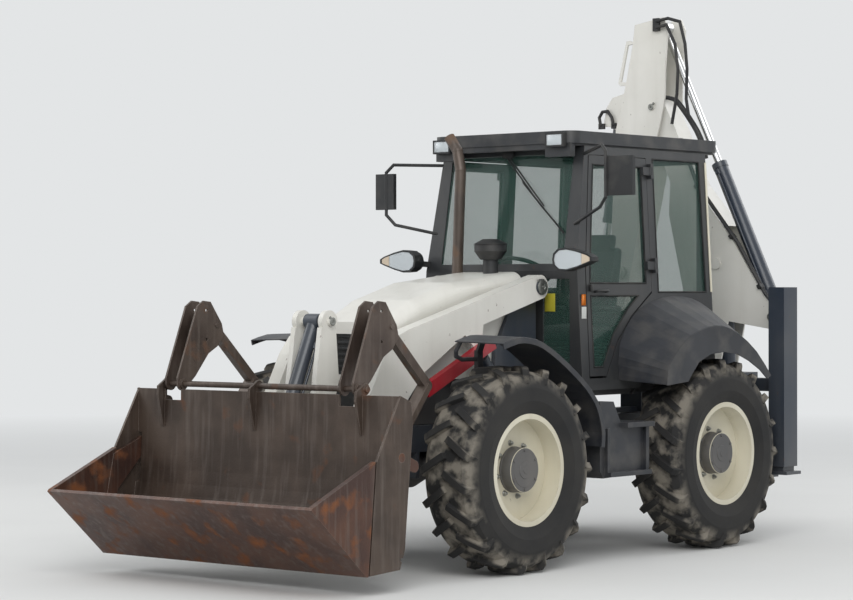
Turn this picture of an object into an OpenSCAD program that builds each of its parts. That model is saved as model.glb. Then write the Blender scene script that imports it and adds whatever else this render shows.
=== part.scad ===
/* [Running gear] */
// Distance between the two axles
wheelbase = 2350; // [2250:10:2450]
// Radius of a tyre at the tips of its lugs
tyre_r = 700; // [690:1:705]
// Width of a tyre
tyre_w = 430; // [400:5:440]
// Distance from the middle of the machine to the middle of a tyre
half_track = 960; // [955:1:980]
// Radius of the rim where the tyre seats
rim_seat_r = 356; // [345:1:370]
// Lugs on each half of a tyre
lug_count = 19; // [15:1:22]
// Height of a lug above the tread
lug_height = 38; // [25:1:45]
// Distance from the middle of the machine to a steering pin
kingpin_y = 790; // [780:1:800]
// Radius of a steering pin
kingpin_r = 22; // [18:1:26]

/* [Frame] */
// Outer faces of the frame rails, from the middle
rail_out = 336; // [320:1:345]
// Width of a frame rail
rail_w = 80; // [60:1:90]
// Underside of the frame rails
rail_low = 800; // [795:1:820]
// Height of the frame rails
rail_h = 180; // [150:5:200]
// Front end of the frame, ahead of the front axle
frame_front = 620; // [560:10:660]
// Radius of the hole in the front tow eye
tow_pin_r = 16; // [12:1:20]
// Thickness of a loader tower plate
tower_t = 32; // [25:1:34]

/* [Cab] */
// Half of the cab's width at the door sill
cab_half_w = 750; // [735:1:755]
// Height of the cab floor's underside
cab_floor_z = 1150; // [1140:5:1160]
// Height of the underside of the roof
roof_z = 2950; // [2940:5:2970]
// Thickness of the roof
roof_t = 105; // [80:5:130]
// Thickness of a door
door_t = 36; // [30:1:40]
// Thickness of the window panes
glass_t = 6; // [5:1:8]

/* [Loader] */
// Distance from the middle to the inner face of a loader arm
arm_in = 375; // [374:1:380]
// Width of a loader arm
arm_w = 110; // [95:1:112]
// Half of the loader bucket's width
bucket_half_w = 1200; // [1150:10:1200]
// Thickness of the bucket's plates
bucket_plate = 16; // [10:1:18]
// Radius of the pins that carry the arms and the bucket
loader_pin_r = 35; // [25:1:38]
// Outer radius of a lift ram's barrel
lift_barrel_r = 50; // [45:1:52]
// Radius of a lift ram's rod
lift_rod_r = 30; // [22:1:32]
// Outer radius of the tilt ram's barrel
tilt_barrel_r = 48; // [40:1:52]
// Radius of the tilt ram's rod
tilt_rod_r = 28; // [22:1:30]

/* [Backhoe] */
// Distance of the slewing post behind the front axle
post_back = 3620; // [3610:1:3640]
// Place of the slewing post across the machine, as parked
post_y = 480; // [470:1:490]
// Half of the boom's width at its foot
boom_half_w = 130; // [125:1:135]
// Half of the boom's width at its nose
nose_half_w = 98; // [85:1:100]
// Thickness of the boom's and dipper's side plates
boom_plate = 16; // [12:1:18]
// Half of the width of the digging bucket
dig_half_w = 300; // [200:5:300]
// Outer radius of the boom ram's barrel
boom_barrel_r = 62; // [55:1:65]
// Outer radius of the dipper ram's barrel
dipper_barrel_r = 58; // [52:1:62]
// Outer radius of the digging bucket's ram barrel
dig_barrel_r = 46; // [40:1:50]
// Radius of the backhoe's pins
hoe_pin_r = 28; // [22:1:30]
// Radius of the backhoe's ram rods
hoe_rod_r = 31; // [25:1:34]

/* [Stabilisers] */
// Distance from the middle to the middle of a stabiliser leg
leg_y = 1100; // [1095:1:1105]
// Width of a stabiliser housing across the machine
housing_w = 140; // [130:1:145]
// Length of a stabiliser housing along the machine
housing_l = 185; // [170:1:190]
// Wall of a stabiliser housing
housing_wall = 12; // [8:1:14]

/* [Fits] */
// Clearance of a pin in its bore, on the radius
pin_fit = 0.05; // [0.02:0.01:0.1]
// Gap between pieces that sit against each other
seat_gap = 0.3; // [0.2:0.1:0.5]
// Gap between pieces that move past each other
run_gap = 6; // [5:1:8]

/* [Hidden] */
front_axle_x = 868;
axle_z = tyre_r;
rear_axle = -wheelbase;
rail_in = rail_out - rail_w;
rail_top = rail_low + rail_h;
arm_out = arm_in + arm_w;
arm_mid = arm_in + arm_w / 2;
tower_in = rail_out;
tower_out = rail_out + tower_t;
floor_top = cab_floor_z + 50;
$fn = 48;

// Side view points are [forward of the front axle, height]
arm_pivot = [-975, 1932];
lift_foot = [-1000, 750];
lift_eye = [-259, 1545];
bucket_hinge = [1330, 360];
tilt_head = [880, 1700];
tilt_eye = [1270, 820];
jaw_pivot = [1365, 853];
jaw_ram_y = bucket_half_w - 108;
jaw_ram_head = [1240, 1150];
jaw_ram_eye = [1215, 790];
fork_shaft = [1352, 1276];
fork_shaft_r = 20;

// Rear view points are [to the left, height], in the plane of the boom
boom_foot = [100, 900];
boom_ram_foot = [320, 1240];
boom_ram_eye = [290, 2120];
boom_nose = [-334, 3394];
dipper_ram_foot = [802, 1700];
dipper_ram_eye = [-285, 4038];
dipper_len = 1700;
dipper_lean = 12.8;
dipper_tip = boom_nose - dipper_len * [sin(dipper_lean), cos(dipper_lean)];
hoe_x = -post_back;

function on_dipper(out, up) = dipper_tip
    + up * [sin(dipper_lean), cos(dipper_lean)]
    + out * [-cos(dipper_lean), sin(dipper_lean)];
rocker_pivot = on_dipper(0, 330);
rocker_end = on_dipper(270, 141);
dig_link_eye = on_dipper(115, -199);
dig_ram_head = on_dipper(385, 1516);

white = "#e8e6df";
navy = "#2b3038";
charcoal = "#26282b";
brown_steel = "#5a4640";
chrome = "#c8ccd2";

module in_row() {
    translate([front_axle_x, 0, 0]) children();
}

module both_sides() {
    children();
    mirror([0, 1, 0]) children();
}

module side_plate(y_low, y_high) {
    translate([0, y_high, 0]) rotate([90, 0, 0]) linear_extrude(y_high - y_low) children();
}

module rear_plate(x_low, x_high) {
    translate([x_low, 0, 0]) rotate([90, 0, 90]) linear_extrude(x_high - x_low) children();
}

module block(x, y, z) {
    translate([x[0], y[0], z[0]]) cube([x[1] - x[0], y[1] - y[0], z[1] - z[0]]);
}

// Round bars along Y, X and Z
module bar_y(r, x, z, y) {
    translate([x, y[1], z]) rotate([90, 0, 0]) cylinder(r = r, h = y[1] - y[0]);
}

module bar_x(r, y, z, x) {
    translate([x[0], y, z]) rotate([0, 90, 0]) cylinder(r = r, h = x[1] - x[0]);
}

module bar_z(r, x, y, z) {
    translate([x, y, z[0]]) cylinder(r = r, h = z[1] - z[0]);
}

// A frame whose Z runs from point a to point b
module aim(a, b) {
    v = b - a;
    translate(a) rotate([0, acos(v[2] / norm(v)), atan2(v[1], v[0])]) children();
}

module bar(a, b, r) {
    aim(a, b) cylinder(r = r, h = norm(b - a));
}

module beam(a, b, w, d) {
    aim(a, b) translate([-w / 2, -d / 2, 0]) cube([w, d, norm(b - a)]);
}

module tube_run(points, r) {
    for (i = [0 : len(points) - 2]) bar(points[i], points[i + 1], r);
    for (i = [1 : len(points) - 2]) translate(points[i]) sphere(r * 1.03);
}

// A smooth curve through points, with a number of steps for each span
function through(p, steps) = [
    for (i = [0 : len(p) - 2]) for (s = [0 : steps - 1])
        let (a = p[max(i - 1, 0)], b = p[i], c = p[i + 1], d = p[min(i + 2, len(p) - 1)], t = s / steps)
        0.5 * (2 * b + (c - a) * t + (2 * a - 5 * b + 4 * c - d) * t * t
            + (3 * b - a - 3 * c + d) * t * t * t),
    p[len(p) - 1]
];

function left_of(p, i) = let (a = p[max(i - 1, 0)], b = p[min(i + 1, len(p) - 1)], v = (b - a) / norm(b - a))
    [-v[1], v[0]];

// A strip of thickness t along a line of points, on its left side
function strip(p, t) = concat(p, [for (i = [len(p) - 1 : -1 : 0]) p[i] + t * left_of(p, i)]);

// Rams: a barrel with an eye at its foot, and a rod with an eye at its head
module ram_barrel(foot, head, r, rod_r, barrel_l, eye_r, eye_w, pin_r, across_y = true) {
    difference() {
        union() {
            aim(foot, head) translate([0, 0, eye_r * 0.6]) cylinder(r = r, h = barrel_l - eye_r * 0.6);
            aim(foot, head) translate([0, 0, barrel_l - 45]) cylinder(r = r + 5, h = 45);
            translate(foot) rotate(across_y ? [90, 0, 0] : [0, 90, 0]) cylinder(r = eye_r, h = eye_w, center = true);
        }
        translate(foot) rotate(across_y ? [90, 0, 0] : [0, 90, 0])
            cylinder(r = pin_r + pin_fit, h = eye_w + 80, center = true);
        aim(foot, head) translate([0, 0, eye_r + 10]) cylinder(r = rod_r + pin_fit, h = barrel_l);
    }
}

// A feed pipe beside a barrel, on the side that turn picks, with a block at each end
module barrel_pipe(foot, head, r, span, turn) {
    aim(foot, head) rotate([0, 0, turn[1]]) {
        translate([r + 16, 0, span[0]]) cylinder(r = 9, h = span[1] - span[0]);
        for (z = [span[0], span[1] - 40]) translate([r - 12, -16, z]) cube([42, 32, 40]);
    }
}

module ram_rod(foot, head, rod_r, start_l, eye_r, eye_w, pin_r, across_y = true) {
    difference() {
        union() {
            aim(foot, head) translate([0, 0, start_l]) cylinder(r = rod_r, h = norm(head - foot) - start_l - eye_r * 0.5);
            translate(head) rotate(across_y ? [90, 0, 0] : [0, 90, 0]) cylinder(r = eye_r, h = eye_w, center = true);
        }
        translate(head) rotate(across_y ? [90, 0, 0] : [0, 90, 0]) cylinder(r = pin_r, h = eye_w + 80, center = true);
    }
}

function at_side(p, y) = [p[0], y, p[1]];
function at_rear(p, x) = [x, p[0], p[1]];

// The frame

module tower_outline() {
    translate(arm_pivot) circle(78);
    polygon([
        [-1075, lift_foot[1] - 60], [-920, lift_foot[1] - 60], [-900, rail_low], [-560, rail_low], [-600, 1480],
        [-890, 1960], [-1063, 1950]
    ]);
}

module main_frame() color(navy) in_row() {
    difference() {
        union() {
            both_sides() block([-2700, frame_front], [rail_in, rail_out], [rail_low, rail_top]);
            block([frame_front - 40, frame_front], [-rail_out, rail_out], [rail_low - 40, rail_top]);
            for (x = [-420, -1500, -2700]) block([x, x + 80], [-rail_out, rail_out], [rail_low, rail_low + 95]);
            for (x = [190, -220]) block([x, x + 30], [-rail_out, rail_out], [620, rail_top]);
            both_sides() side_plate(tower_in, tower_out) tower_outline();
            both_sides() block([-1075, -900], [rail_in, tower_in], [690, rail_low]);
            bar_y(42, -1030, 1750, [-tower_in, tower_in]);
            both_sides() bar_y(loader_pin_r, arm_pivot[0], arm_pivot[1], [tower_in - 5, arm_out + 15]);
            both_sides() bar_y(loader_pin_r + 22, arm_pivot[0], arm_pivot[1], [arm_out + 2, arm_out + 15]);
            both_sides() bar_y(28, lift_foot[0], lift_foot[1], [tower_in, arm_out + 10]);
            both_sides() bar_y(42, lift_foot[0], lift_foot[1], [arm_out, arm_out + 10]);
            both_sides() for (x = [-1250, -2560]) bar_z(55, x, 296, [rail_top, cab_floor_z]);
            both_sides() for (x = [-880, 330]) block([x, x + 60], [300, 329], [rail_top, hood_low - seat_gap]);
            both_sides() for (x = [-1330, -1160]) block([x, x + 60], [rail_out, 575], [rail_low + 20, rail_low + 70]);
            for (z = [rail_low + 10, rail_low + 90]) block([frame_front, frame_front + 110], [-70, 70], [z, z + 25]);
        }
        bar_x(45 + pin_fit, 0, axle_z, [-300, 300]);
        bar_z(tow_pin_r, frame_front + 65, 0, [rail_low - 20, rail_low + 140]);
    }
}

// The slide frame and the stabiliser housings
slide_front = -3200;
slide_back = -3300;
housing_x = -3198;
housing_low = 560;
housing_top = 1930;

module slide_frame() color(navy) in_row() {
    both_sides() block([slide_front, -2700], [rail_in, rail_out], [rail_low, rail_top]);
    for (z = [[470, 590], [1130, 1230]]) block([slide_back, slide_front], [-leg_y + 106, leg_y - 106], z);
    both_sides() block([slide_front, slide_front + 24], [180, 420], [470, 1230]);
    both_sides() difference() {
        block([housing_x - housing_l / 2, housing_x + housing_l / 2], [leg_y - housing_w / 2, leg_y + housing_w / 2],
            [housing_low, housing_top]);
        block([housing_x - housing_l / 2 + housing_wall, housing_x + housing_l / 2 - housing_wall],
            [leg_y - housing_w / 2 + housing_wall, leg_y + housing_w / 2 - housing_wall],
            [housing_low - 10, housing_top - housing_wall]);
    }
    both_sides() block([slide_back, slide_front], [leg_y - 110, leg_y - housing_w / 2 + 2], [532, 1230]);
}

leg_l = housing_l - 2 * housing_wall - 2 * run_gap;
leg_w = housing_w - 2 * housing_wall - 2 * run_gap;

module stabiliser() {
    color(navy) block([housing_x - leg_l / 2, housing_x + leg_l / 2], [leg_y - leg_w / 2, leg_y + leg_w / 2], [520, 1820]);
    color(navy) block([housing_x - leg_l / 2 - run_gap + seat_gap, housing_x + leg_l / 2 + run_gap - seat_gap],
        [leg_y - leg_w / 2 - run_gap + seat_gap, leg_y + leg_w / 2 + run_gap - seat_gap], [1700, 1800]);
    color(brown_steel) block([housing_x - 100, housing_x + 102], [leg_y - 100, leg_y + 98], [500, 524]);
}

module stabiliser_left() in_row() stabiliser();
module stabiliser_right() in_row() mirror([0, 1, 0]) stabiliser();

// Axles, knuckles and wheels
yoke_in = 150;
yoke_out = 185;

module axle_shape() {
    bar_y(82, 0, axle_z, [-690, 690]);
    bar_y(165, 0, axle_z, [-95, 95]);
    both_sides() translate([0, 95, axle_z]) rotate([-90, 0, 0]) cylinder(r1 = 165, r2 = 82, h = 160);
    both_sides() difference() {
        union() {
            block([-70, 70], [650, 705], [axle_z - yoke_out, axle_z + yoke_out]);
            for (z = [axle_z - yoke_out, axle_z + yoke_in]) {
                block([-55, 55], [700, kingpin_y], [z, z + yoke_out - yoke_in]);
                bar_z(55, 0, kingpin_y, [z, z + yoke_out - yoke_in]);
            }
        }
        bar_z(kingpin_r + pin_fit, 0, kingpin_y, [axle_z - 300, axle_z + 300]);
    }
}

module axles() color(navy) in_row() {
    axle_shape();
    bar_x(45, 0, axle_z, [-240, 240]);
    translate([rear_axle, 0, 0]) {
        axle_shape();
        both_sides() block([-90, 90], [rail_in, rail_out], [axle_z, rail_low]);
    }
}

stub_r = 60;
hub_plane = 995;

module knuckle() color(charcoal) {
    bar_z(kingpin_r, 0, kingpin_y, [axle_z - yoke_out - 12, axle_z + yoke_out + 12]);
    bar_z(48, 0, kingpin_y, [axle_z - yoke_in + 2, axle_z + yoke_in - 2]);
    bar_y(120, 0, axle_z, [kingpin_y - 30, kingpin_y + 60]);
    bar_y(stub_r, 0, axle_z, [kingpin_y + 55, hub_plane + 30]);
}

module knuckle_front_left() in_row() knuckle();
module knuckle_front_right() in_row() mirror([0, 1, 0]) knuckle();
module knuckle_rear_left() in_row() translate([rear_axle, 0, 0]) knuckle();
module knuckle_rear_right() in_row() translate([rear_axle, 0, 0]) mirror([0, 1, 0]) knuckle();

tread_r = tyre_r - lug_height;
rim_half_w = 168;
flange = 24;

// One lug: a section along the lug, as [distance from the middle, radius]
module lug() {
    half = tyre_w / 2;
    translate([0, half * 0.52, 0]) rotate([0, 0, 58]) rotate([90, 0, 0]) linear_extrude(46, center = true)
        polygon([
            [-134, tread_r - 14], [-128, tyre_r - 9], [-50, tyre_r - 2], [40, tyre_r - 2], [84, tyre_r - 9], [104, tyre_r - 36],
            [107, tread_r - 76], [60, tread_r - 60]
        ]);
}

module tyre() color("#1c1c1d") {
    half = tyre_w / 2;
    bead = rim_half_w - seat_gap;
    rotate([-90, 0, 0]) rotate_extrude($fn = 60) polygon([
        [rim_seat_r + seat_gap, -bead], [rim_seat_r + flange + seat_gap, -bead - 5], [rim_seat_r + flange + seat_gap, -bead - 17],
        [rim_seat_r + 110, -half], [tread_r - 110, -half],
        [tread_r - 30, -half + 22], [tread_r, -half + 70], [tread_r, half - 70], [tread_r - 30, half - 22],
        [tread_r - 110, half], [rim_seat_r + 110, half], [rim_seat_r + flange + seat_gap, bead + 17],
        [rim_seat_r + flange + seat_gap, bead + 5], [rim_seat_r + seat_gap, bead]
    ]);
    for (i = [0 : lug_count - 1]) {
        rotate([0, 360 * i / lug_count, 0]) lug();
        rotate([0, 360 * (i + 0.5) / lug_count, 0]) mirror([0, 1, 0]) lug();
    }
}

module tyre_at(x, side) in_row() translate([x, side * half_track, axle_z]) tyre();
module tyre_front_left() tyre_at(0, 1);
module tyre_front_right() tyre_at(0, -1);
module tyre_rear_left() tyre_at(rear_axle, 1);
module tyre_rear_right() tyre_at(rear_axle, -1);

module rim() color("#e6e0cc") {
    difference() {
        union() {
            rotate([-90, 0, 0]) rotate_extrude($fn = 60) polygon([
                [rim_seat_r - 12, -rim_half_w - 17], [rim_seat_r + flange, -rim_half_w - 17], [rim_seat_r + flange, -rim_half_w - 5],
                [rim_seat_r, -rim_half_w], [rim_seat_r, rim_half_w], [rim_seat_r + flange, rim_half_w + 5],
                [rim_seat_r + flange, rim_half_w + 17], [rim_seat_r - 12, rim_half_w + 17]
            ]);
            bar_y(rim_seat_r - 6, 0, 0, [hub_plane - half_track, hub_plane - half_track + 14]);
            bar_y(150, 0, 0, [hub_plane - half_track, hub_plane - half_track + 110]);
        }
        bar_y(stub_r + pin_fit, 0, 0, [hub_plane - half_track - 10, hub_plane - half_track + 32]);
        for (i = [0 : 7]) rotate([0, 45 * i + 12, 0]) bar_y(14, 185, 0, [hub_plane - half_track - 5, hub_plane - half_track + 20]);
    }
}

module rim_at(x, side) in_row() translate([x, side * half_track, axle_z]) scale_side(side) rim();
module scale_side(side) {
    if (side > 0) children();
    else mirror([0, 1, 0]) children();
}
module rim_front_left() rim_at(0, 1);
module rim_front_right() rim_at(0, -1);
module rim_rear_left() rim_at(rear_axle, 1);
module rim_rear_right() rim_at(rear_axle, -1);

// Engine and hood

module engine_block() color("#3a3d40") in_row() block([-700, 400], [-225, 225], [rail_top + seat_gap, 1480]);

hood_wall = 8;
hood_low = 1290;
hood_shoulder = 95;
// Each row is a section across the hood: [forward, height of the top, half width]
hood_rows = [[-960, 2042, 330], [-226, 1963, 330], [200, 1842, 328], [498, 1692, 318]];

module hood_slice(row, d) {
    r = hood_shoulder - d;
    w = row[2] - d;
    translate([row[0], 0, 0]) rotate([90, 0, 90]) linear_extrude(1) {
        translate([-w, hood_low]) square([2 * w, row[1] - hood_shoulder - hood_low]);
        for (s = [-1, 1]) translate([s * (w - r), row[1] - d - r]) circle(r, $fn = 32);
    }
}

module hood_body(d) {
    for (i = [0 : len(hood_rows) - 2]) hull() {
        hood_slice(hood_rows[i], d);
        hood_slice(hood_rows[i + 1], d);
    }
}

module hood() color(white) in_row() difference() {
    hood_body(0);
    translate([-hood_wall, 0, 0]) difference() {
        hood_body(hood_wall);
        block([480, 520], [-400, 400], [1200, 2100]);
    }
    block([-1000, -940], [-330 + hood_wall, 330 - hood_wall], [1200, 1920]);
    block([-1000, 478], [-250, 250], [1250, 1400]);
    block([460, 520], [-grille_half_w, grille_half_w], [1330, 1610]);
    bar_z(55 + seat_gap, -880, 100, [1900, 2150]);
    bar([-930, -262, 1900], [-930, -222, 2790], 40 + seat_gap);
}

grille_half_w = 275;

module grille() color(charcoal) in_row() {
    g = grille_half_w - seat_gap;
    difference() {
        block([462, 480], [-g, g], [1330 + seat_gap, 1610 - seat_gap]);
        for (i = [0 : 5]) block([450, 495], [-250, 250], [1350 + 42 * i, 1350 + 42 * i + 26]);
    }
    block([444, 462], [-262, 262], [1331, 1609]);
    block([440, 480], [-274, 274], [rail_top + seat_gap, hood_low - seat_gap]);
}

module exhaust() color("#6b4a3a") in_row() {
    tube_run([[-930, -262, 1900], [-930, -222, 2790], [-930, -252, 2930], [-930, -330, 3035]], 40);
}

module pre_cleaner() color(charcoal) in_row() translate([-880, 100, 0]) {
    bar_z(55, 0, 0, [1940, 2150]);
    translate([0, 0, 2130]) cylinder(r1 = 75, r2 = 118, h = 60);
    translate([0, 0, 2190]) cylinder(r = 118, h = 50);
    translate([0, 0, 2240]) cylinder(r1 = 128, r2 = 60, h = 38);
}

module side_tanks() {
    both_sides() side_plate(575, 1080)
        polygon([[-1450, 610], [-1470, 650], [-1470, 940], [-1440, 975], [-1125, 975], [-1040, 1125], [-880, 1125], [-880, 640], [-920, 590]]);
    both_sides() block([-1440, -1115], [1080, 1150], [940, 975]);
    both_sides() block([-1420, -930], [1080, 1140], [600, 632]);
    both_sides() for (x = [-1420, -960]) block([x, x + 30], [1080, 1110], [632, 940]);
}

// The cab
cab_front = -1110;
cab_back = -2800;
lean = 3.3;
screen_foot = 2050;
screen_back = 160;
cab_top_front = cab_front - screen_back;
screen_run = sqrt(pow(2955 - screen_foot, 2) + pow(screen_back, 2));

// Runs its children in the plane of the left cab side, which leans inward
module cab_side() {
    translate([0, cab_half_w, 1340]) rotate([lean, 0, 0]) translate([0, -cab_half_w, -1340]) children();
}

module door_outline() {
    polygon([
        [-1205, 1290], [-1400, 1290], [-1556, 1545], [-1748, 1728], [-2010, 1902], [-2010, 2885], [-1312, 2885], [-1212, 2050]
    ]);
}

module door_window() {
    polygon([[-1252, 1955], [-1950, 1955], [-1950, 2825], [-1350, 2825], [-1258, 2062]]);
    polygon([[-1250, 1350], [-1370, 1350], [-1510, 1580], [-1710, 1775], [-1850, 1875], [-1250, 1875]]);
}

hinge_x = -2040;
hinge_y = cab_half_w + 22;
hinge_pin_r = 9;
hinge_rows = [2060, 2760];

module door_shape() color(charcoal) cab_side() {
    side_plate(cab_half_w - door_t, cab_half_w) difference() {
        door_outline();
        door_window();
    }
    difference() {
        for (z = hinge_rows) {
            block([hinge_x, -1940], [cab_half_w + 8, cab_half_w + 26], [z, z + 60]);
            block([-2002, -1940], [cab_half_w - 4, cab_half_w + 10], [z, z + 60]);
            bar_z(15, hinge_x, hinge_y, [z, z + 60]);
        }
        bar_z(hinge_pin_r + pin_fit, hinge_x, hinge_y, [2000, 2900]);
    }
}

module door_pane() color("#7fb0a8", 0.4) {
    cab_side() side_plate(cab_half_w - door_t / 2 - glass_t / 2, cab_half_w - door_t / 2 + glass_t / 2)
        offset_window();
}

module offset_window() {
    g = seat_gap;
    polygon([
        [-1252 - g, 1955 + g], [-1950 + g, 1955 + g], [-1950 + g, 2825 - g], [-1350 - g, 2825 - g], [-1258 - g, 2062]
    ]);
    polygon([
        [-1250 - g, 1350 + g], [-1370 + 0.5 * g, 1350 + g], [-1510 + g, 1580 + g], [-1710 + g, 1775 + g],
        [-1850 + 3 * g, 1875 - g], [-1250 - g, 1875 - g]
    ]);
}

module door_left() in_row() door_shape();
module door_right() in_row() mirror([0, 1, 0]) door_shape();
module door_glass_left() in_row() door_pane();
module door_glass_right() in_row() mirror([0, 1, 0]) door_pane();

module side_wall_outline() {
    polygon([
        [-1400, 1275], [-1561, 1536], [-1753, 1715], [-2016, 1889], [-2095, 1889], [-2800, 1889], [-2800, floor_top - 10],
        [cab_front, floor_top - 10], [cab_front, 1275]
    ]);
}

module front_post() {
    polygon([
        [cab_front, 1275], [cab_front, screen_foot], [cab_top_front, 2962], [-1306, 2962], [-1306, 2891], [-1206, 2050], [-1199, 1275]
    ]);
}

// Cuts away what stands outside the leaning cab sides
module outside_cab() {
    both_sides() translate([-3100, cab_half_w - 2, 1340]) rotate([lean, 0, 0]) translate([0, 0, -400]) cube([2400, 300, 2400]);
}

// The room that a rear wheel needs at full lock, and the tub that closes it off from the cab
function arch(r, from, to) = [for (i = [0 : 8]) let (a = from + (to - from) * i / 8) [rear_axle + r * cos(a), axle_z + r * sin(a)]];

module cab_frame() color(charcoal) in_row() {
    difference() {
        union() {
            block([cab_back, cab_front], [-705, 705], [cab_floor_z, floor_top]);
            both_sides() cab_side() side_plate(cab_half_w - door_t, cab_half_w - 2) {
                side_wall_outline();
                polygon([[-2016, 1880], [-2016, 2960], [-2095, 2960], [-2095, 1880]]);
                polygon([[-2730, 1880], [-2710, 2960], [-2790, 2960], [-2800, 1880]]);
                polygon([[-2790, 2891], [cab_top_front, 2891], [cab_top_front, 2960], [-2790, 2960]]);
                front_post();
            }
            front_frame();
            difference() {
                block([cab_back, cab_back + 22], [-770, 770], [floor_top - 10, roof_z]);
                block([cab_back - 10, cab_back + 40], [-590, 590], [1750, 2870]);
            }
            both_sides() side_plate(533, 730) polygon(concat([[cab_back, cab_floor_z], [-1750, cab_floor_z]], arch(755, 37, 126.4)));
        }
        block([cab_back - 50, cab_front + 50], [-900, 900], [roof_z, roof_z + 200]);
        outside_cab();
        both_sides() side_plate(545, 900) polygon(arch(742, 0, 180));
    }
    both_sides() cab_side() for (z = hinge_rows) {
        for (h = [z - 25, z + 61]) block([hinge_x - 18, hinge_x + 16], [cab_half_w - 3, hinge_y + 14], [h, h + 24]);
        bar_z(hinge_pin_r, hinge_x, hinge_y, [z - 20, z + 80]);
    }
}

module front_frame() {
    difference() {
        block([cab_front - 22, cab_front], [-770, 770], [floor_top - 10, screen_foot]);
        both_sides() block([cab_front - 40, cab_front + 10], [400, 640], [1350, 1990]);
    }
    translate([cab_front, 0, screen_foot]) rotate([0, -atan(screen_back / (2955 - screen_foot)), 0]) difference() {
        block([-22, 0], [-770, 770], [-4, screen_run + 11]);
        block([-40, 10], [-570, 570], [50, screen_run - 59]);
    }
}

module cab_roof() color(charcoal) in_row() {
    difference() {
        union() {
            translate([0, 0, roof_z + 15]) linear_extrude(roof_t - 15) roof_outline(0);
            translate([0, 0, roof_z]) linear_extrude(20) roof_outline(25);
        }
        translate([0, 0, roof_z - 5]) linear_extrude(roof_t - 30) roof_outline(60);
    }
    difference() {
        block([-1190, -1135], [-630, 630], [2870, roof_z + 20]);
        block([-1200, -1100], [-400, 400], [2800, 2925]);
    }
}

module roof_outline(d) {
    corner = 90 - min(d, 60);
    x_low = -3000 + d;
    x_high = -1125 - d;
    y_half = 662 - d;
    translate([x_low + corner, -y_half]) square([x_high - x_low - 2 * corner, 2 * y_half]);
    translate([x_low, -y_half + corner]) square([x_high - x_low, 2 * y_half - 2 * corner]);
    for (x = [x_low + corner, x_high - corner]) for (y = [-y_half + corner, y_half - corner]) translate([x, y]) circle(corner);
}

module cab_glass() color("#7fb0a8", 0.4) in_row() {
    g = seat_gap;
    translate([cab_front, 0, screen_foot]) rotate([0, -atan(screen_back / (2955 - screen_foot)), 0])
        block([-14, -14 + glass_t], [-570 + g, 570 - g], [50 + g, screen_run - 59 - g]);
    both_sides() block([cab_front - 14, cab_front - 14 + glass_t], [400 + g, 640 - g], [1350 + g, 1990 - g]);
    block([cab_back + 8, cab_back + 8 + glass_t], [-590 + g, 590 - g], [1750 + g, 2870 - g]);
    both_sides() cab_side() side_plate(cab_half_w - 2 - door_t / 2, cab_half_w - 2 - door_t / 2 + glass_t)
        polygon([[-2095 - g, 1889 + g], [-2730 + g, 1889 + g], [-2711 + g, 2891 - g], [-2095 - g, 2891 - g]]);
}

module console() color("#33363a") in_row() {
    block([-1300, cab_front - 22 - seat_gap], [-230, 230], [floor_top, 1880]);
    bar([-1290, 0, 1840], [-1400, 0, 2060], 30);
    aim([-1400, 0, 2060], [-1430, 0, 2120]) rotate_extrude($fn = 48) translate([190, 0]) circle(15);
    aim([-1400, 0, 2060], [-1430, 0, 2120]) for (a = [0, 120, 240]) rotate([0, 0, a]) translate([0, -12, -6]) cube([190, 24, 12]);
    block([-2640, -2480], [-300, 300], [floor_top, 1700]);
}

module seat() color("#222427") in_row() {
    block([-2200, -1800], [-200, 200], [floor_top, 1500]);
    block([-2260, -1740], [-250, 250], [1500, 1640]);
    beam([-2220, 0, 1600], [-2340, 0, 2280], 120, 460);
}

// The cab's outer shape, grown by g, for what is seated on it
module cab_envelope(g) {
    difference() {
        side_plate(-900, 900) polygon([
            [cab_back - g, 1200], [cab_front + g, 1200], [cab_front + g, screen_foot + g], [cab_top_front + g, roof_z + 5],
            [cab_back - g, roof_z + 5]
        ]);
        both_sides() translate([0, g, 0]) translate([-3100, cab_half_w - 2, 1340]) rotate([lean, 0, 0])
            translate([0, 0, -400]) cube([2400, 500, 2400]);
    }
}

mirror_loops = [
    [[-1290, 600, 2880], [-1150, 900, 2940], [-1126, 950, 2895], [-1126, 950, 2570], [-1140, 890, 2500], [-1170, 640, 2385]],
    [[-1290, -600, 2846], [-1085, -1010, 2858], [-1060, -1062, 2800], [-1060, -1062, 2480], [-1092, -1000, 2404], [-1170, -640, 2330]]
];

lamp_outline = [
    [640, 2125], [650, 2170], [690, 2203], [760, 2210], [850, 2192], [950, 2162], [990, 2142], [990, 2112], [950, 2096], [850, 2064],
    [760, 2042], [690, 2047], [650, 2080]
];

module lamps_and_mirrors() color(charcoal) in_row() {
    both_sides() difference() {
        beam([-1180, 690, 2100], [-990, 745, 2112], 40, 60);
        cab_envelope(seat_gap);
    }
    for (route = mirror_loops) difference() {
        tube_run(route, 12);
        cab_envelope(seat_gap);
        block([-1320, -1256], [600, 662], [2860, 2935]);
        block([-1320, -1248.8], [-665, -600], [2825, 2875]);
    }
    both_sides() {
        difference() {
            rear_plate(-985, -905) polygon(lamp_outline);
            rear_plate(-917, -895) polygon([for (p = lamp_outline) [815 + 0.91 * (p[0] - 815), 2125 + 0.86 * (p[1] - 2125)]]);
        }
        bar_x(72, 735, 2125, [-1030, -980]);
        block([-2850, cab_back - seat_gap], [600, 655], [1660, 1840]);
    }
    work_lamp([442, 602], [2938, 3040]);
    work_lamp([-617, -455], [2925, 3027]);
    block([-1088, -1055], [-1165, -985], [2520, 2790]);
    block([-1164, -1129], [945, 1182], [2578, 2858]);
}

module work_lamp(y, z) {
    difference() {
        block([-1125 + seat_gap, -1080], y, z);
        block([-1092, -1070], [y[0] + 12, y[1] - 12], [z[0] + 12, z[1] - 12]);
    }
}

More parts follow.
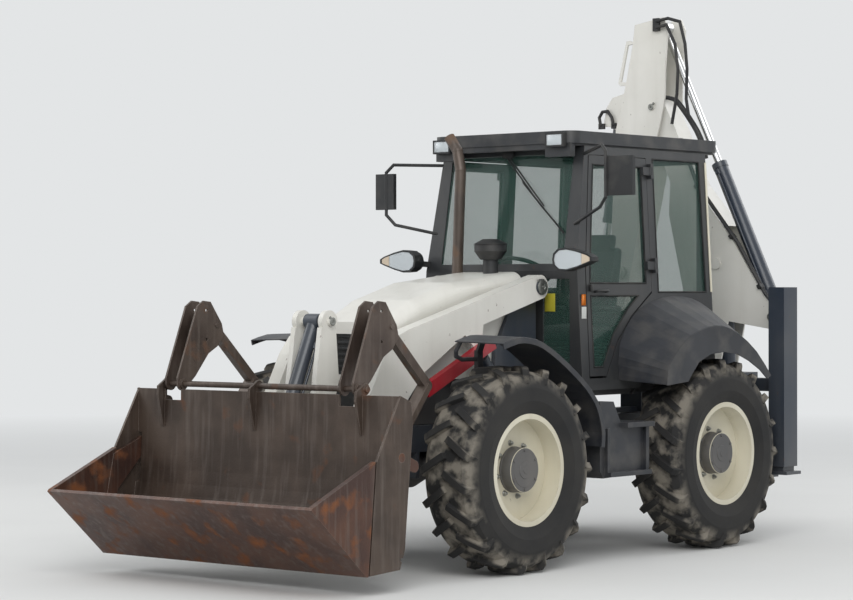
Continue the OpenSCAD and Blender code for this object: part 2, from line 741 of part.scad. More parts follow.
// Fenders: outlines are [forward of the axle, height]
front_fender_line = [
    [300, 1567], [140, 1604], [0, 1600], [-140, 1565], [-320, 1475], [-490, 1370], [-630, 1270], [-740, 1160], [-800, 1050],
    [-830, 930], [-820, 830]
];
rear_inner_line = [
    [-1552, 1255], [-1552, 1365], [-1575, 1500], [-1680, 1650], [-1839, 1768], [-2131, 1852], [-2400, 1862], [-2640, 1815],
    [-2860, 1700], [-2990, 1540]
];
rear_outer_line = [
    [-1575, 1228], [-1590, 1330], [-1640, 1410], [-1745, 1500], [-1880, 1580], [-2100, 1640], [-2290, 1645], [-2503, 1584],
    [-2740, 1450], [-2937, 1266]
];
rear_arch_line = [
    [-1590, 1225], [-1840, 1245], [-1900, 1310], [-1979, 1384], [-2130, 1438], [-2304, 1451], [-2480, 1432], [-2637, 1378],
    [-2780, 1310], [-2882, 1240]
];
fender_out = 1170;

function at_y(p, y) = [for (q = p) [q[0], y, q[1]]];
function on_wall(p) = [for (q = p) [q[0], cab_half_w - 2 + seat_gap - (q[1] - 1348) * tan(lean), q[1]]];
function up_of(p, i) = let (a = p[max(i - 1, 0)], b = p[min(i + 1, len(p) - 1)], v = b - a, l = norm([v[0], v[2]]))
    [-v[2] / l, 0, v[0] / l];

// A sheet between two lines of points in space, with its thickness taken downward
module sheet(a, b, t) {
    n = len(a);
    polyhedron(
        points = concat(
            a, b,
            [for (i = [0 : n - 1]) a[i] + t * up_of(a, i)],
            [for (i = [0 : n - 1]) b[i] + t * up_of(b, i)]
        ),
        faces = concat(
            [for (i = [0 : n - 2]) [i, i + 1, n + i]], [for (i = [0 : n - 2]) [i + 1, n + i + 1, n + i]],
            [for (i = [0 : n - 2]) [2 * n + i, 3 * n + i, 2 * n + i + 1]],
            [for (i = [0 : n - 2]) [2 * n + i + 1, 3 * n + i, 3 * n + i + 1]],
            [for (i = [0 : n - 2]) [i, 2 * n + i, i + 1]], [for (i = [0 : n - 2]) [i + 1, 2 * n + i, 2 * n + i + 1]],
            [for (i = [0 : n - 2]) [n + i, n + i + 1, 3 * n + i]],
            [for (i = [0 : n - 2]) [n + i + 1, 3 * n + i + 1, 3 * n + i]],
            [[0, n, 2 * n], [n, 3 * n, 2 * n], [n - 1, 3 * n - 1, 2 * n - 1], [2 * n - 1, 3 * n - 1, 4 * n - 1]]
        )
    );
}

module fenders() both_sides() {
    front_low = [for (p = through(front_fender_line, 2)) [p[0], p[1] - 12]];
    sheet(at_y(through(front_fender_line, 2), 745), at_y(front_low, 1160), 8);
    side_plate(1156, 1166) polygon(strip([for (p = front_low) [p[0], p[1] - 3]], 38));
    block([-28, 28], [690, 722], [axle_z + yoke_out + seat_gap, 1500]);
    beam([0, 706, 1480], [60, 800, 1590], 36, 36);
    tube_run([[0, 706, 1440], [170, 700, 1440], [240, 706, 1462], [256, 720, 1500], [250, 760, 1572]], 15);
    sheet(on_wall(through(rear_inner_line, 2)), at_y(through(rear_outer_line, 2), fender_out - 10), 8);
    side_plate(fender_out - 14, fender_out - 6) polygon(concat(
        [for (p = through(rear_outer_line, 2)) [p[0], p[1] - 4]],
        [for (i = [len(rear_arch_line) - 1 : -1 : 0]) rear_arch_line[i]]
    ));
}

// The loader

module fenders_and_tanks() color(navy) in_row() {
    fenders();
    side_tanks();
}

module arm_outline() {
    translate(arm_pivot) circle(86);
    translate(bucket_hinge) circle(70);
    polygon([
        [-962, 2017], [480, 1640], [620, 1590], [720, 1470], [870, 1200], [1150, 770], [1392, 392], [1290, 303],
        [760, 860], [520, 1130], [310, 1350], [-180, 1630], [-1000, 1850]
    ]);
}

module tower_side() {
    polygon([[40, 0], [330, 0], [120, 640], [0, 640]]);
}

module loader_arms() color(white) in_row() difference() {
    union() {
        both_sides() side_plate(arm_in, arm_out) arm_outline();
        bar_y(75, 1000, 880, [-arm_in, arm_in]);
        for (s = [-1, 1]) side_plate(s * 120 - 20, s * 120 + 20) {
            polygon([[930, 850], [1080, 900], [960, 1660], [820, 1660], [790, 1300]]);
            translate(tilt_head) circle(75);
        }
        bar_y(loader_pin_r - 5, tilt_head[0], tilt_head[1], [-165, 165]);
        both_sides() bar_y(loader_pin_r, bucket_hinge[0], bucket_hinge[1], [arm_in - 60, arm_out + 60]);
        both_sides() for (y = [arm_in, arm_out - 25]) side_plate(y, y + 25) {
            translate(lift_eye) circle(52);
            polygon([[-330, 1700], [-120, 1600], [-215, 1520], [-303, 1520]]);
        }
    }
    both_sides() bar_y(loader_pin_r + pin_fit, arm_pivot[0], arm_pivot[1], [arm_in - 10, arm_out + 10]);
}

module arm_strut() color("#b3202c") in_row() both_sides()
    beam([-390, arm_out + 25 + seat_gap, 1545], [335, arm_out + 25 + seat_gap, 1225], 90, 50);

module lift_barrels() color(navy) in_row() both_sides()
    ram_barrel(at_side(lift_foot, arm_mid), at_side(lift_eye, arm_mid), lift_barrel_r, lift_rod_r, 940, 52, 70, 28);

module lift_rods() color(chrome) in_row() both_sides()
    ram_rod(at_side(lift_foot, arm_mid), at_side(lift_eye, arm_mid), lift_rod_r, 140, 44, 40, 25);

module tilt_barrel() color(navy) in_row() {
    barrel_pipe(at_side(tilt_head, 0), at_side(tilt_eye, 0), tilt_barrel_r, [150, 790], [0, 60]);
    ram_barrel(at_side(tilt_head, 0), at_side(tilt_eye, 0), tilt_barrel_r, tilt_rod_r, 850, 52, 120, loader_pin_r - 5);
}

module tilt_rod() color(chrome) in_row()
    ram_rod(at_side(tilt_head, 0), at_side(tilt_eye, 0), tilt_rod_r, 110, 44, 60, 25);

back_line = [[1366, 1240], [1372, 900], [1395, 600], [1450, 380], [1540, 230], [1655, 150]];
bucket_side = [[1374, 1243], [1602, 840], [1669, 132], [1385, 150], [1337, 272], [1308, 585], [1258, 1056], [1277, 1202]];

module loader_bucket() color(brown_steel) in_row() {
    w = bucket_half_w;
    difference() {
        union() {
            side_plate(-w, w) polygon(strip(through(back_line, 3), bucket_plate));
            both_sides() side_plate(w - bucket_plate, w) polygon(bucket_side);
            both_sides() for (y = [arm_in - 34, arm_out + 10]) side_plate(y, y + 24) {
                translate(bucket_hinge) circle(65);
                polygon([[1330, 295], [1440, 360], [1400, 620], [1290, 410]]);
            }
            for (y = [-60, 36]) side_plate(y, y + 24) {
                translate(tilt_eye) circle(58);
                polygon([[1270, 762], [1378, 700], [1378, 960], [1240, 870]]);
            }
            both_sides() for (y = [jaw_ram_y - 56, jaw_ram_y + 40]) side_plate(y, y + 16) {
                translate(jaw_ram_head) circle(38);
                polygon([[1240, 1112], [1375, 1050], [1375, 1220], [1225, 1185]]);
            }
            both_sides() bar_y(18, jaw_ram_head[0], jaw_ram_head[1], [jaw_ram_y - 56, jaw_ram_y + 56]);
            bar_y(fork_shaft_r, fork_shaft[0], fork_shaft[1], [-965, 905]);
            for (y = [-935, -70, 875]) side_plate(y - 9, y + 9) {
                translate(fork_shaft) circle(38);
                polygon([[1330, 1250], [1362, 1312], [1440, 1262], [1446, 1200], [1396, 985], [1378, 985], [1370, 1225]]);
            }
        }
        both_sides() bar_y(loader_pin_r + pin_fit, bucket_hinge[0], bucket_hinge[1], [arm_in - 80, arm_out + 80]);
        both_sides() bar_y(30 + pin_fit, jaw_pivot[0], jaw_pivot[1], [w - 40, w + 10]);
        both_sides() bar_y(14, 1366, 211, [w - 40, w + 10]);
        both_sides() block([1300, 1450], [w - 50, w - bucket_plate], [600, 940]);
        for (y = fork_rows) block([1340, 1400], [y - 75, y + 75], [1166, 1250]);
    }
}

fork_gap = 112;
fork_rows = [757, -845];

jaw_side = [[2185, 590], [1614, 842], [1681, 150], [1700, 150]];

module bucket_jaw() color("#7a4630") in_row() {
    w = bucket_half_w;
    difference() {
        union() {
            side_plate(-w, w) polygon([[1682, 128], [1700, 128], [2200, 575], [2185, 592], [1682, 150]]);
            both_sides() side_plate(w - 40, w) polygon(jaw_side);
            both_sides() side_plate(w - 42, w - 22) {
                translate(jaw_pivot) circle(60);
                translate(jaw_ram_eye) circle(38);
                side_bar(jaw_pivot, jaw_ram_eye, 76);
                polygon([[1365, 913], [1640, 800], [1750, 300], [1690, 260], [1600, 560], [1365, 793]]);
            }
            both_sides() bar_y(30, jaw_pivot[0], jaw_pivot[1], [w - 42, w]);
            both_sides() bar_y(20, jaw_ram_eye[0], jaw_ram_eye[1], [jaw_ram_y + 30, w - 30]);
        }
    }
}

module jaw_barrels() color(navy) in_row() both_sides()
    ram_barrel(at_side(jaw_ram_head, jaw_ram_y), at_side(jaw_ram_eye, jaw_ram_y), 36, 18, 300, 34, 60, 18);

module jaw_rods() color(chrome) in_row() both_sides()
    ram_rod(at_side(jaw_ram_head, jaw_ram_y), at_side(jaw_ram_eye, jaw_ram_y), 18, 60, 32, 40, 16);

fork_plate_t = 14;

module fork(y_mid) color(brown_steel) translate([0, y_mid, 0]) {
    difference() {
        for (s = [-1, 1]) side_plate(s * fork_gap / 2 - fork_plate_t / 2, s * fork_gap / 2 + fork_plate_t / 2) fork_outline();
        bar_y(fork_shaft_r + pin_fit, fork_shaft[0], fork_shaft[1], [-100, 100]);
        for (p = [[1125, 1774], [1125, 1574]]) bar_y(11, p[0], p[1], [-100, 100]);
    }
    bar_y(16, 1027, 1670, [-fork_gap / 2 - 16, fork_gap / 2 + 16]);
    difference() {
        beam([1090, 0, 1735], [614, 0, 1275.5], 62, 60);
        bar_y(11, 1125, 1774, [-100, 100]);
    }
    beam([620, 0, 1281], [1006, 0, 796], 46, 90);
    bar_y(34, 614, 1275.5, [-28, 28]);
    for (s = [-1, 1]) difference() {
        bar_y(34, fork_shaft[0], fork_shaft[1], s > 0 ? [49, 80] : [-80, -49]);
        bar_y(fork_shaft_r + pin_fit, fork_shaft[0], fork_shaft[1], [-100, 100]);
    }
}

module fork_outline() {
    translate(fork_shaft) circle(46);
    polygon([
        [1398, 1268], [1400, 1315], [1212, 1801], [1154, 1839], [1086, 1832], [978, 1682], [958, 1604], [1017, 1527],
        [1106, 1477], [1232, 1325], [1310, 1256]
    ]);
}

module fork_left() in_row() fork(fork_rows[0]);
module fork_right() in_row() fork(fork_rows[1]);

// The backhoe

module carriage() color(navy) in_row() difference() {
    union() {
        block([-3400, slide_back - seat_gap], [post_y - 260, post_y + 260], [430, 1270]);
        for (z = [[520, 580], [1080, 1140]]) {
            block([hoe_x, -3390], [post_y - 105, post_y + 105], z);
            bar_z(105, hoe_x, post_y, z);
        }
        for (z = [430, 1230 + seat_gap]) block([slide_back - 10, slide_front + 20], [post_y - 260, post_y + 260],
            z == 430 ? [430, 470 - seat_gap] : [1230 + seat_gap, 1270]);
    }
    bar_z(45 + pin_fit, hoe_x, post_y, [500, 1160]);
}

module slew_post() color(navy) in_row() difference() {
    union() {
        bar_z(100, hoe_x, post_y, [588, 1072]);
        bar_z(45, hoe_x, post_y, [505, 1155]);
        rear_plate(hoe_x - 100, hoe_x + 100) {
            translate(boom_foot) circle(95);
            polygon([[80, 810], [400, 600], [500, 600], [500, 1060], [370, 1060], [300, 1060], [80, 992]]);
        }
        for (s = [-1, 1]) rear_plate(hoe_x + s * 82 - 13, hoe_x + s * 82 + 13) {
            translate(boom_ram_foot) circle(50);
            polygon([[200, 1000], [365, 1000], [368, 1230], [280, 1270]]);
        }
        bar_x(hoe_pin_r, boom_ram_foot[0], boom_ram_foot[1], [hoe_x - 95, hoe_x + 95]);
        bar_x(40, boom_foot[0], boom_foot[1], [hoe_x - boom_half_w - 12, hoe_x + boom_half_w + 12]);
    }
}

boom_base_edge = [
    [5, 900], [20, 1000], [-31, 1927], [-167, 2523], [-167, 2781], [-430, 3300], [-433, 3380], [-334, 3494], [-244, 3438],
    [-118, 3198], [76, 2750], [476, 2265], [728, 1870], [845, 1752], [864, 1700], [842, 1640], [783, 1606],
    [400, 1664], [260, 1000], [195, 900]
];

module boom() color(white) in_row() {
    difference() {
        rear_plate(hoe_x - boom_half_w, hoe_x + boom_half_w) boom_outline();
        rear_plate(hoe_x - boom_half_w + boom_plate, hoe_x + boom_half_w - boom_plate) boom_cavity();
        rear_plate(hoe_x - nose_half_w + boom_plate, hoe_x + nose_half_w - boom_plate) nose_cavity();
        for (s = [-1, 1]) side_taper(s);
        bar_x(40 + pin_fit, boom_foot[0], boom_foot[1], [hoe_x - 200, hoe_x + 200]);
        bar_x(hoe_pin_r + pin_fit, boom_nose[0], boom_nose[1], [hoe_x - 200, hoe_x + 200]);
    }
    for (s = [-1, 1]) rear_plate(hoe_x + s * (boom_half_w - 38) - 26, hoe_x + s * (boom_half_w - 38) + 26)
        translate(dipper_ram_foot) circle(62);
    bar_x(hoe_pin_r, dipper_ram_foot[0], dipper_ram_foot[1], [hoe_x - boom_half_w - 10, hoe_x + boom_half_w + 10]);
    for (s = [-1, 1]) bar_x(46, boom_ram_eye[0], boom_ram_eye[1], [hoe_x + s * (boom_half_w + 6) - 8, hoe_x + s * (boom_half_w + 6) + 8]);
}

// Cuts the boom's side down from its full width to the width of the nose
module side_taper(s) {
    translate([hoe_x, 800, 0]) rotate([90, 0, 0]) linear_extrude(1600) polygon([
        [s * boom_half_w, 2500], [s * nose_half_w, 2900], [s * nose_half_w, 3700], [s * 300, 3700], [s * 300, 2500]
    ]);
}

module nose_cavity() {
    polygon([[-150, 2540], [-150, 2781], [-395, 3240], [-300, 3270], [-140, 3180], [50, 2745], [220, 2540]]);
}

module boom_outline() {
    translate(boom_foot) circle(95);
    translate(boom_nose) circle(100);
    polygon(boom_base_edge);
}

module boom_cavity() {
    polygon([
        [-200, 700], [-200, 1060], [31, 1060], [-11, 1927], [-125, 2420], [1200, 2420], [1200, 1400], [500, 1400],
        [500, 700]
    ]);
}

// Steel pipes along the boom's upper edge, and the hoses that join them at its nose
boom_pipe_path = [[-54, 3128], [104, 2762], [500, 2276], [748, 1884], [812, 1812]];
boom_hose_path = [[-226, 3466], [-140, 3446], [-62, 3364], [34, 3240], [104, 3124], [150, 2964]];

module boom_lines() color("#2a2b2d") in_row() {
    for (d = [10, -16]) tube_run([for (p = boom_pipe_path) [hoe_x + boom_half_w + d, p[0], p[1]]], 10);
    for (d = [-38, -72]) tube_run([for (p = through(boom_hose_path, 2)) [hoe_x + boom_half_w + d, p[0], p[1]]], 15);
    pipe_clip([76, 2750], [476, 2265], 0.05);
    pipe_clip([76, 2750], [476, 2265], 0.88);
    pipe_clip([476, 2265], [728, 1870], 0.85);
    block([hoe_x + 40, hoe_x + 108], [-262, -216], [3463.5, 3484]);
}

// A clip that holds both pipes, seated on the edge from a to b at a share of its length
module pipe_clip(a, b, share) {
    run = (b - a) / norm(b - a);
    out = [-run[1], run[0]];
    foot = a + (b - a) * share;
    rear_plate(hoe_x + boom_half_w - 32, hoe_x + boom_half_w + 24) polygon([
        foot + out * seat_gap - run * 17, foot + out * 34 - run * 17, foot + out * 34 + run * 17, foot + out * seat_gap + run * 17
    ]);
}

// Hoses from the dipper's upper end, and the loop at its lower edge: each row is x from the middle, then its route
dipper_hoses = [
    [170, [[-262, 4080], [-146, 4096], [-30, 4062], [21, 3882], [40, 3679], [32, 3439], [58, 3290]]],
    [170, [[-262, 4030], [-160, 4046], [-77, 3888], [-48, 3684], [-58, 3483], [-107, 3244]]],
    [130, [[-718, 3262], [-736, 3330], [-778, 3380], [-830, 3376], [-862, 3330], [-848, 3262]]]
];

module dipper_lines() color("#1d1e20") in_row() {
    for (row = dipper_hoses) tube_run([for (p = row[1]) [hoe_x + row[0], p[0], p[1]]], 13);
    block([hoe_x + boom_half_w + 12 + seat_gap, hoe_x + 166], [-300, -240], [4002, 4106]);
    for (y = [[-740, -696], [-870, -812]]) block([hoe_x + 114, hoe_x + 133], y, [3235, 3281]);
}

module boom_barrel() color(navy) in_row()
    ram_barrel(at_rear(boom_ram_foot, hoe_x), at_rear(boom_ram_eye, hoe_x), boom_barrel_r, hoe_rod_r, 800, 55, 130, hoe_pin_r, false);

module boom_rod() color(chrome) in_row()
    ram_rod(at_rear(boom_ram_foot, hoe_x), at_rear(boom_ram_eye, hoe_x), hoe_rod_r, 76, 50, 70, 26, false);

module dipper_barrel() color(navy) in_row() {
    barrel_pipe(at_rear(dipper_ram_foot, hoe_x), at_rear(dipper_ram_eye, hoe_x), dipper_barrel_r, [180, 1290], [0, 90]);
    ram_barrel(at_rear(dipper_ram_foot, hoe_x), at_rear(dipper_ram_eye, hoe_x), dipper_barrel_r, hoe_rod_r, 1350, 55, 120, hoe_pin_r, false);
}

module dipper_rod() color(chrome) in_row()
    ram_rod(at_rear(dipper_ram_foot, hoe_x), at_rear(dipper_ram_eye, hoe_x), hoe_rod_r, 1266, 50, 90, 26, false);

module dipper() color(white) in_row() {
    difference() {
        union() {
            rear_plate(hoe_x - boom_half_w, hoe_x + boom_half_w) dipper_outline();
            for (s = [-1, 1]) bar_x(38, dipper_ram_eye[0], dipper_ram_eye[1], [hoe_x + s * (boom_half_w + 4) - 8, hoe_x + s * (boom_half_w + 4) + 8]);
        }
        rear_plate(hoe_x - boom_half_w + boom_plate, hoe_x + boom_half_w - boom_plate) dipper_cavity();
        bar_x(hoe_pin_r + pin_fit, dipper_tip[0], dipper_tip[1], [hoe_x - 300, hoe_x + 300]);
    }
    bar_x(hoe_pin_r, boom_nose[0], boom_nose[1], [hoe_x - boom_half_w - 12, hoe_x + boom_half_w + 12]);
    rear_plate(hoe_x + boom_half_w - boom_plate, hoe_x + boom_half_w)
        polygon([[-500, 3920], [-557, 3946], [-587, 3940], [-669, 3605], [-650, 3580], [-585, 3580], [-590, 3605], [-640, 3612], [-572, 3906]]);
    rear_plate(hoe_x + 99, hoe_x + 113.7)
        polygon([[-590, 3524], [-740, 3488], [-801, 3409], [-832, 3254], [-670, 3250], [-600, 3465]]);
    for (s = [-1, 1]) rear_plate(hoe_x + s * 60 - 10, hoe_x + s * 60 + 10) {
        translate(dig_ram_head) circle(52);
        polygon([on_dipper(250, 1640), on_dipper(400, 1565), on_dipper(420, 1480), on_dipper(240, 1380)]);
    }
    bar_x(hoe_pin_r, dig_ram_head[0], dig_ram_head[1], [hoe_x - 78, hoe_x + 78]);
    bar_x(hoe_pin_r, rocker_pivot[0], rocker_pivot[1], [hoe_x - 172, hoe_x + 172]);
}

module dipper_cavity() {
    polygon([
        [-484, 4200], [-505, 3905], [-576, 3582], [-606, 3462], [-655, 3262], [-480, 3000], [-330, 2900], [300, 2900], [300, 4200]
    ]);
    polygon([on_dipper(-66, 1100), on_dipper(225, 1130), on_dipper(80, 150), on_dipper(-70, 150)]);
}

module dipper_outline() {
    translate(dipper_tip) circle(72);
    translate(boom_nose) circle(112);
    polygon([
        on_dipper(-110, 1793), on_dipper(-112, 1600), on_dipper(-90, 1200), on_dipper(-88, 200), on_dipper(-70, 20),
        on_dipper(70, 20), on_dipper(120, 330), on_dipper(314, 1452), [-695, 3222], [-624, 3465], [-594, 3586], [-523, 3908],
        [-502, 4069], [-215, 4114], [-175, 4023], [-200, 3700]
    ]);
}

dig_section = [
    [-70, -40], [90, -330], [125, -430], [95, -530], [10, -595], [-120, -615], [-640, -372]
];

function at_dipper(p) = on_dipper(p[0], p[1]);

module dig_bucket() color(brown_steel) in_row() {
    rear_plate(hoe_x - dig_half_w, hoe_x + dig_half_w)
        polygon([for (p = strip(through(dig_section, 2), -20)) at_dipper(p)]);
    for (s = [-1, 1]) rear_plate(hoe_x + s * (dig_half_w - 8) - 8, hoe_x + s * (dig_half_w - 8) + 8)
        polygon([for (p = concat(dig_section, [[-655, -345], [-420, -300], [-200, -180]])) at_dipper(p)]);
    for (s = [-1, 1]) difference() {
        rear_plate(hoe_x + s * 150 - 12, hoe_x + s * 150 + 12) {
            translate(dipper_tip) circle(60);
            translate(dig_link_eye) circle(52);
            polygon([for (p = [[-62, 0], [-85, -60], [90, -345], [168, -215], [60, 20]]) at_dipper(p)]);
        }
        bar_x(20, dig_link_eye[0], dig_link_eye[1], [hoe_x - 200, hoe_x + 200]);
    }
    bar_x(hoe_pin_r, dipper_tip[0], dipper_tip[1], [hoe_x - 170, hoe_x + 170]);
    for (i = [-2 : 2]) rear_plate(hoe_x + i * 132 - 30, hoe_x + i * 132 + 30)
        polygon([for (p = [[-560, -425], [-640, -392], [-752, -322], [-740, -312], [-640, -352], [-560, -385]]) at_dipper(p)]);
}

module dig_rocker() color(white) in_row() for (s = [-1, 1]) difference() {
    rear_plate(hoe_x + s * 145 - 8, hoe_x + s * 145 + 8) {
        translate(rocker_pivot) circle(48);
        translate(rocker_end) circle(48);
        side_bar(rocker_pivot, rocker_end, 76);
    }
    bar_x(hoe_pin_r + pin_fit, rocker_pivot[0], rocker_pivot[1], [hoe_x - 200, hoe_x + 200]);
    bar_x(22 + pin_fit, rocker_end[0], rocker_end[1], [hoe_x - 200, hoe_x + 200]);
}

// A flat bar of width w between two points in its plane
module side_bar(a, b, w) {
    translate(a) rotate(atan2(b[1] - a[1], b[0] - a[0])) translate([0, -w / 2]) square([norm(b - a), w]);
}

module dig_link() color(white) in_row() for (s = [-1, 1]) {
    difference() {
        rear_plate(hoe_x + s * 176 - 8, hoe_x + s * 176 + 8) {
            translate(rocker_end) circle(44);
            translate(dig_link_eye) circle(44);
            side_bar(rocker_end, dig_link_eye, 70);
        }
        bar_x(22, dig_link_eye[0], dig_link_eye[1], [hoe_x - 220, hoe_x + 220]);
    }
    bar_x(22, rocker_end[0], rocker_end[1], [hoe_x + s * 160 - 25, hoe_x + s * 160 + 25]);
}

module dig_barrel() color(navy) in_row()
    ram_barrel(at_rear(dig_ram_head, hoe_x), at_rear(rocker_end, hoe_x), dig_barrel_r, hoe_rod_r, 840, 50, 80, hoe_pin_r, false);

module dig_rod() color(chrome) in_row()
    ram_rod(at_rear(dig_ram_head, hoe_x), at_rear(rocker_end, hoe_x), hoe_rod_r, 560, 45, 80, 26, false);

main_frame();
slide_frame();
axles();
engine_block();
hood();
grille();
exhaust();
pre_cleaner();
cab_frame();
cab_roof();
cab_glass();
console();
seat();
lamps_and_mirrors();
fenders_and_tanks();
knuckle_front_left();
knuckle_front_right();
knuckle_rear_left();
knuckle_rear_right();
tyre_front_left();
tyre_front_right();
tyre_rear_left();
tyre_rear_right();
rim_front_left();
rim_front_right();
rim_rear_left();
rim_rear_right();
door_left();
door_right();
door_glass_left();
door_glass_right();
loader_arms();
arm_strut();
lift_barrels();
lift_rods();
tilt_barrel();
tilt_rod();
loader_bucket();
bucket_jaw();
jaw_barrels();
jaw_rods();
fork_left();
fork_right();
carriage();
slew_post();
boom();
boom_lines();
boom_barrel();
boom_rod();
dipper();
dipper_lines();
dipper_barrel();
dipper_rod();
dig_bucket();
dig_rocker();
dig_link();
dig_barrel();
dig_rod();
stabiliser_left();
stabiliser_right();
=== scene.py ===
# %% [markdown]
# # A backhoe loader in a studio
# The machine carries a loader bucket in front and a digging arm behind. Its solids come from a CAD frame with
# real joints. This lesson gives every solid a material that fits what it is made of, adds the small pieces that
# the solids leave out, and sets the camera and the lamps as the photograph has them.

# %% Load the frame
import math
import bmesh
import bpy
from mathutils import Matrix, Vector


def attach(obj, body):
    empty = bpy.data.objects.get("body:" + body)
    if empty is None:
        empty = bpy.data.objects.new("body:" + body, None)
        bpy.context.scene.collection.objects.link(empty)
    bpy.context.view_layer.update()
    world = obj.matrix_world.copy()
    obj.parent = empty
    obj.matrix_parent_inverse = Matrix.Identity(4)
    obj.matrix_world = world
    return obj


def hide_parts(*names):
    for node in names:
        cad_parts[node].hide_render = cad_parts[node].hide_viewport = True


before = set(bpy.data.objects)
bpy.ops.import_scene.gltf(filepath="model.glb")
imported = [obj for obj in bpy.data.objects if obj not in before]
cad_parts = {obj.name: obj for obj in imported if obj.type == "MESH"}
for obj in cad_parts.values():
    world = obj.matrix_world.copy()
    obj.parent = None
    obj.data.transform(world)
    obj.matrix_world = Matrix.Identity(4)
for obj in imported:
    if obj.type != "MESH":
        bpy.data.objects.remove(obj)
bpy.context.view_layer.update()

# %% [markdown]
# ## Places on the machine
# Places are written as in a workshop drawing: millimetres ahead of the front axle, to the left of the middle
# and above the ground. One function turns them to metres in the shared frame.

# %% Places
FRONT_AXLE_MM = 868
REAR_AXLE_X = -2350
TYRE_RADIUS = 700
SIDES = (("left", 1), ("right", -1))


def at(x, y, z):
    return Vector(((x + FRONT_AXLE_MM) / 1000, y / 1000, z / 1000))


print("rear axle at", tuple(round(v, 3) for v in at(REAR_AXLE_X, 0, TYRE_RADIUS)))

# %% [markdown]
# ## Helpers for colours and nodes
# Colours are written as sRGB hex, the way a paint chart gives them, and turned to linear by one function.
# Nodes are added by one function that also sets their values and joins their inputs.

# %% Colours and nodes
def linear(hex_colour):
    values = [int(hex_colour.lstrip("#")[i:i + 2], 16) / 255 for i in (0, 2, 4)]
    return [v / 12.92 if v <= 0.04045 else ((v + 0.055) / 1.055) ** 2.4 for v in values] + [1.0]


def add(tree, kind, values=None, links=None, **settings):
    new = tree.nodes.new(kind)
    for name, value in settings.items():
        setattr(new, name, value)
    for name, value in (values or {}).items():
        new.inputs[name].default_value = value
    for name, source in (links or {}).items():
        tree.links.new(source, new.inputs[name])
    return new


print("the hex grey #808080 is", round(linear("#808080")[0], 3), "in linear light")

# %% [markdown]
# Most patterns here are a noise that is cut at two levels, so that it fades from bare to covered. A size in
# millimetres says how wide its patches are: a noise of scale 1 has patches about a metre wide. A stretch below
# 1 draws the patches out along that direction, as rain does with dust.

# %% A patchy mask
def patches(tree, place, size_mm, low, high, detail=4.0, stretch=(1, 1, 1)):
    mapped = add(tree, "ShaderNodeMapping", {"Scale": stretch}, {"Vector": place})
    noise = add(tree, "ShaderNodeTexNoise", {"Scale": 1000 / size_mm, "Detail": detail},
                {"Vector": mapped.outputs[0]})
    cut = add(tree, "ShaderNodeMapRange", {"From Min": low, "From Max": high}, {"Value": noise.outputs["Fac"]},
              clamp=True)
    return cut.outputs["Result"]


def blend_colours(tree, share, under, over):
    mix = add(tree, "ShaderNodeMix", data_type="RGBA")
    tree.links.new(share, mix.inputs["Factor"])
    for socket, colour in ((mix.inputs[6], under), (mix.inputs[7], over)):
        if isinstance(colour, str):
            socket.default_value = linear(colour)
        else:
            tree.links.new(colour, socket)
    return mix.outputs[2]


def scaled(tree, share, factor):
    return add(tree, "ShaderNodeMath", {1: factor}, {0: share}, operation="MULTIPLY").outputs[0]


# %% [markdown]
# Edges of a plate are never razor sharp. The bevel node rounds the normal over a few millimetres, and where
# that rounded normal leaves the true one there is an edge, which is where paint wears off first.

# %% Edges
def rounded(tree, radius_mm):
    return add(tree, "ShaderNodeBevel", {"Radius": radius_mm / 1000}, samples=4).outputs[0]


def edge_share(tree, radius_mm, low=0.02, high=0.25):
    flat = add(tree, "ShaderNodeNewGeometry").outputs["True Normal"]
    dot = add(tree, "ShaderNodeVectorMath", links={0: rounded(tree, radius_mm), 1: flat},
              operation="DOT_PRODUCT")
    away = add(tree, "ShaderNodeMath", {0: 1.0}, {1: dot.outputs["Value"]}, operation="SUBTRACT")
    cut = add(tree, "ShaderNodeMapRange", {"From Min": low, "From Max": high}, {"Value": away.outputs[0]},
              clamp=True)
    return cut.outputs["Result"]


# %% [markdown]
# Every material starts the same way: a shader with its plain roughness and metal, and the object's own
# coordinates in metres, so that a pattern keeps its real size and turns with the body it is on.

# %% The start of a material
def start(name, roughness, metallic=0.0, **sockets):
    material = bpy.data.materials.new(name)
    material.use_nodes = True
    tree = material.node_tree
    shader = tree.nodes["Principled BSDF"]
    shader.inputs["Roughness"].default_value = roughness
    shader.inputs["Metallic"].default_value = metallic
    for socket, value in sockets.items():
        shader.inputs[socket.replace("_", " ")].default_value = value
    place = add(tree, "ShaderNodeTexCoord").outputs["Object"]
    return material, tree, shader, place


def bump(tree, shader, height, distance_mm, strength=1.0, radius_mm=3.0):
    normal = rounded(tree, radius_mm)
    made = add(tree, "ShaderNodeBump", {"Strength": strength, "Distance": distance_mm / 1000},
               {"Height": height, "Normal": normal})
    tree.links.new(made.outputs[0], shader.inputs["Normal"])


# %% [markdown]
# ## Painted steel
# Farm and building machines are sprayed with an enamel that dries glossy and slightly rippled, like fine
# orange peel. Paint isn't a metal, so metallic stays 0, a roughness near 0.4 gives the satin of old enamel,
# and a thin coat gives the second, sharper highlight. Dust settles low down and in films, rain draws it into
# streaks, and chips and edges go brown with rust.

# %% Painted steel
RIPPLE_MM = 7
CHIP_MM = 38
FILM_MM = 420
STREAK_MM = 120
DUSTY_BELOW_M = 1.5


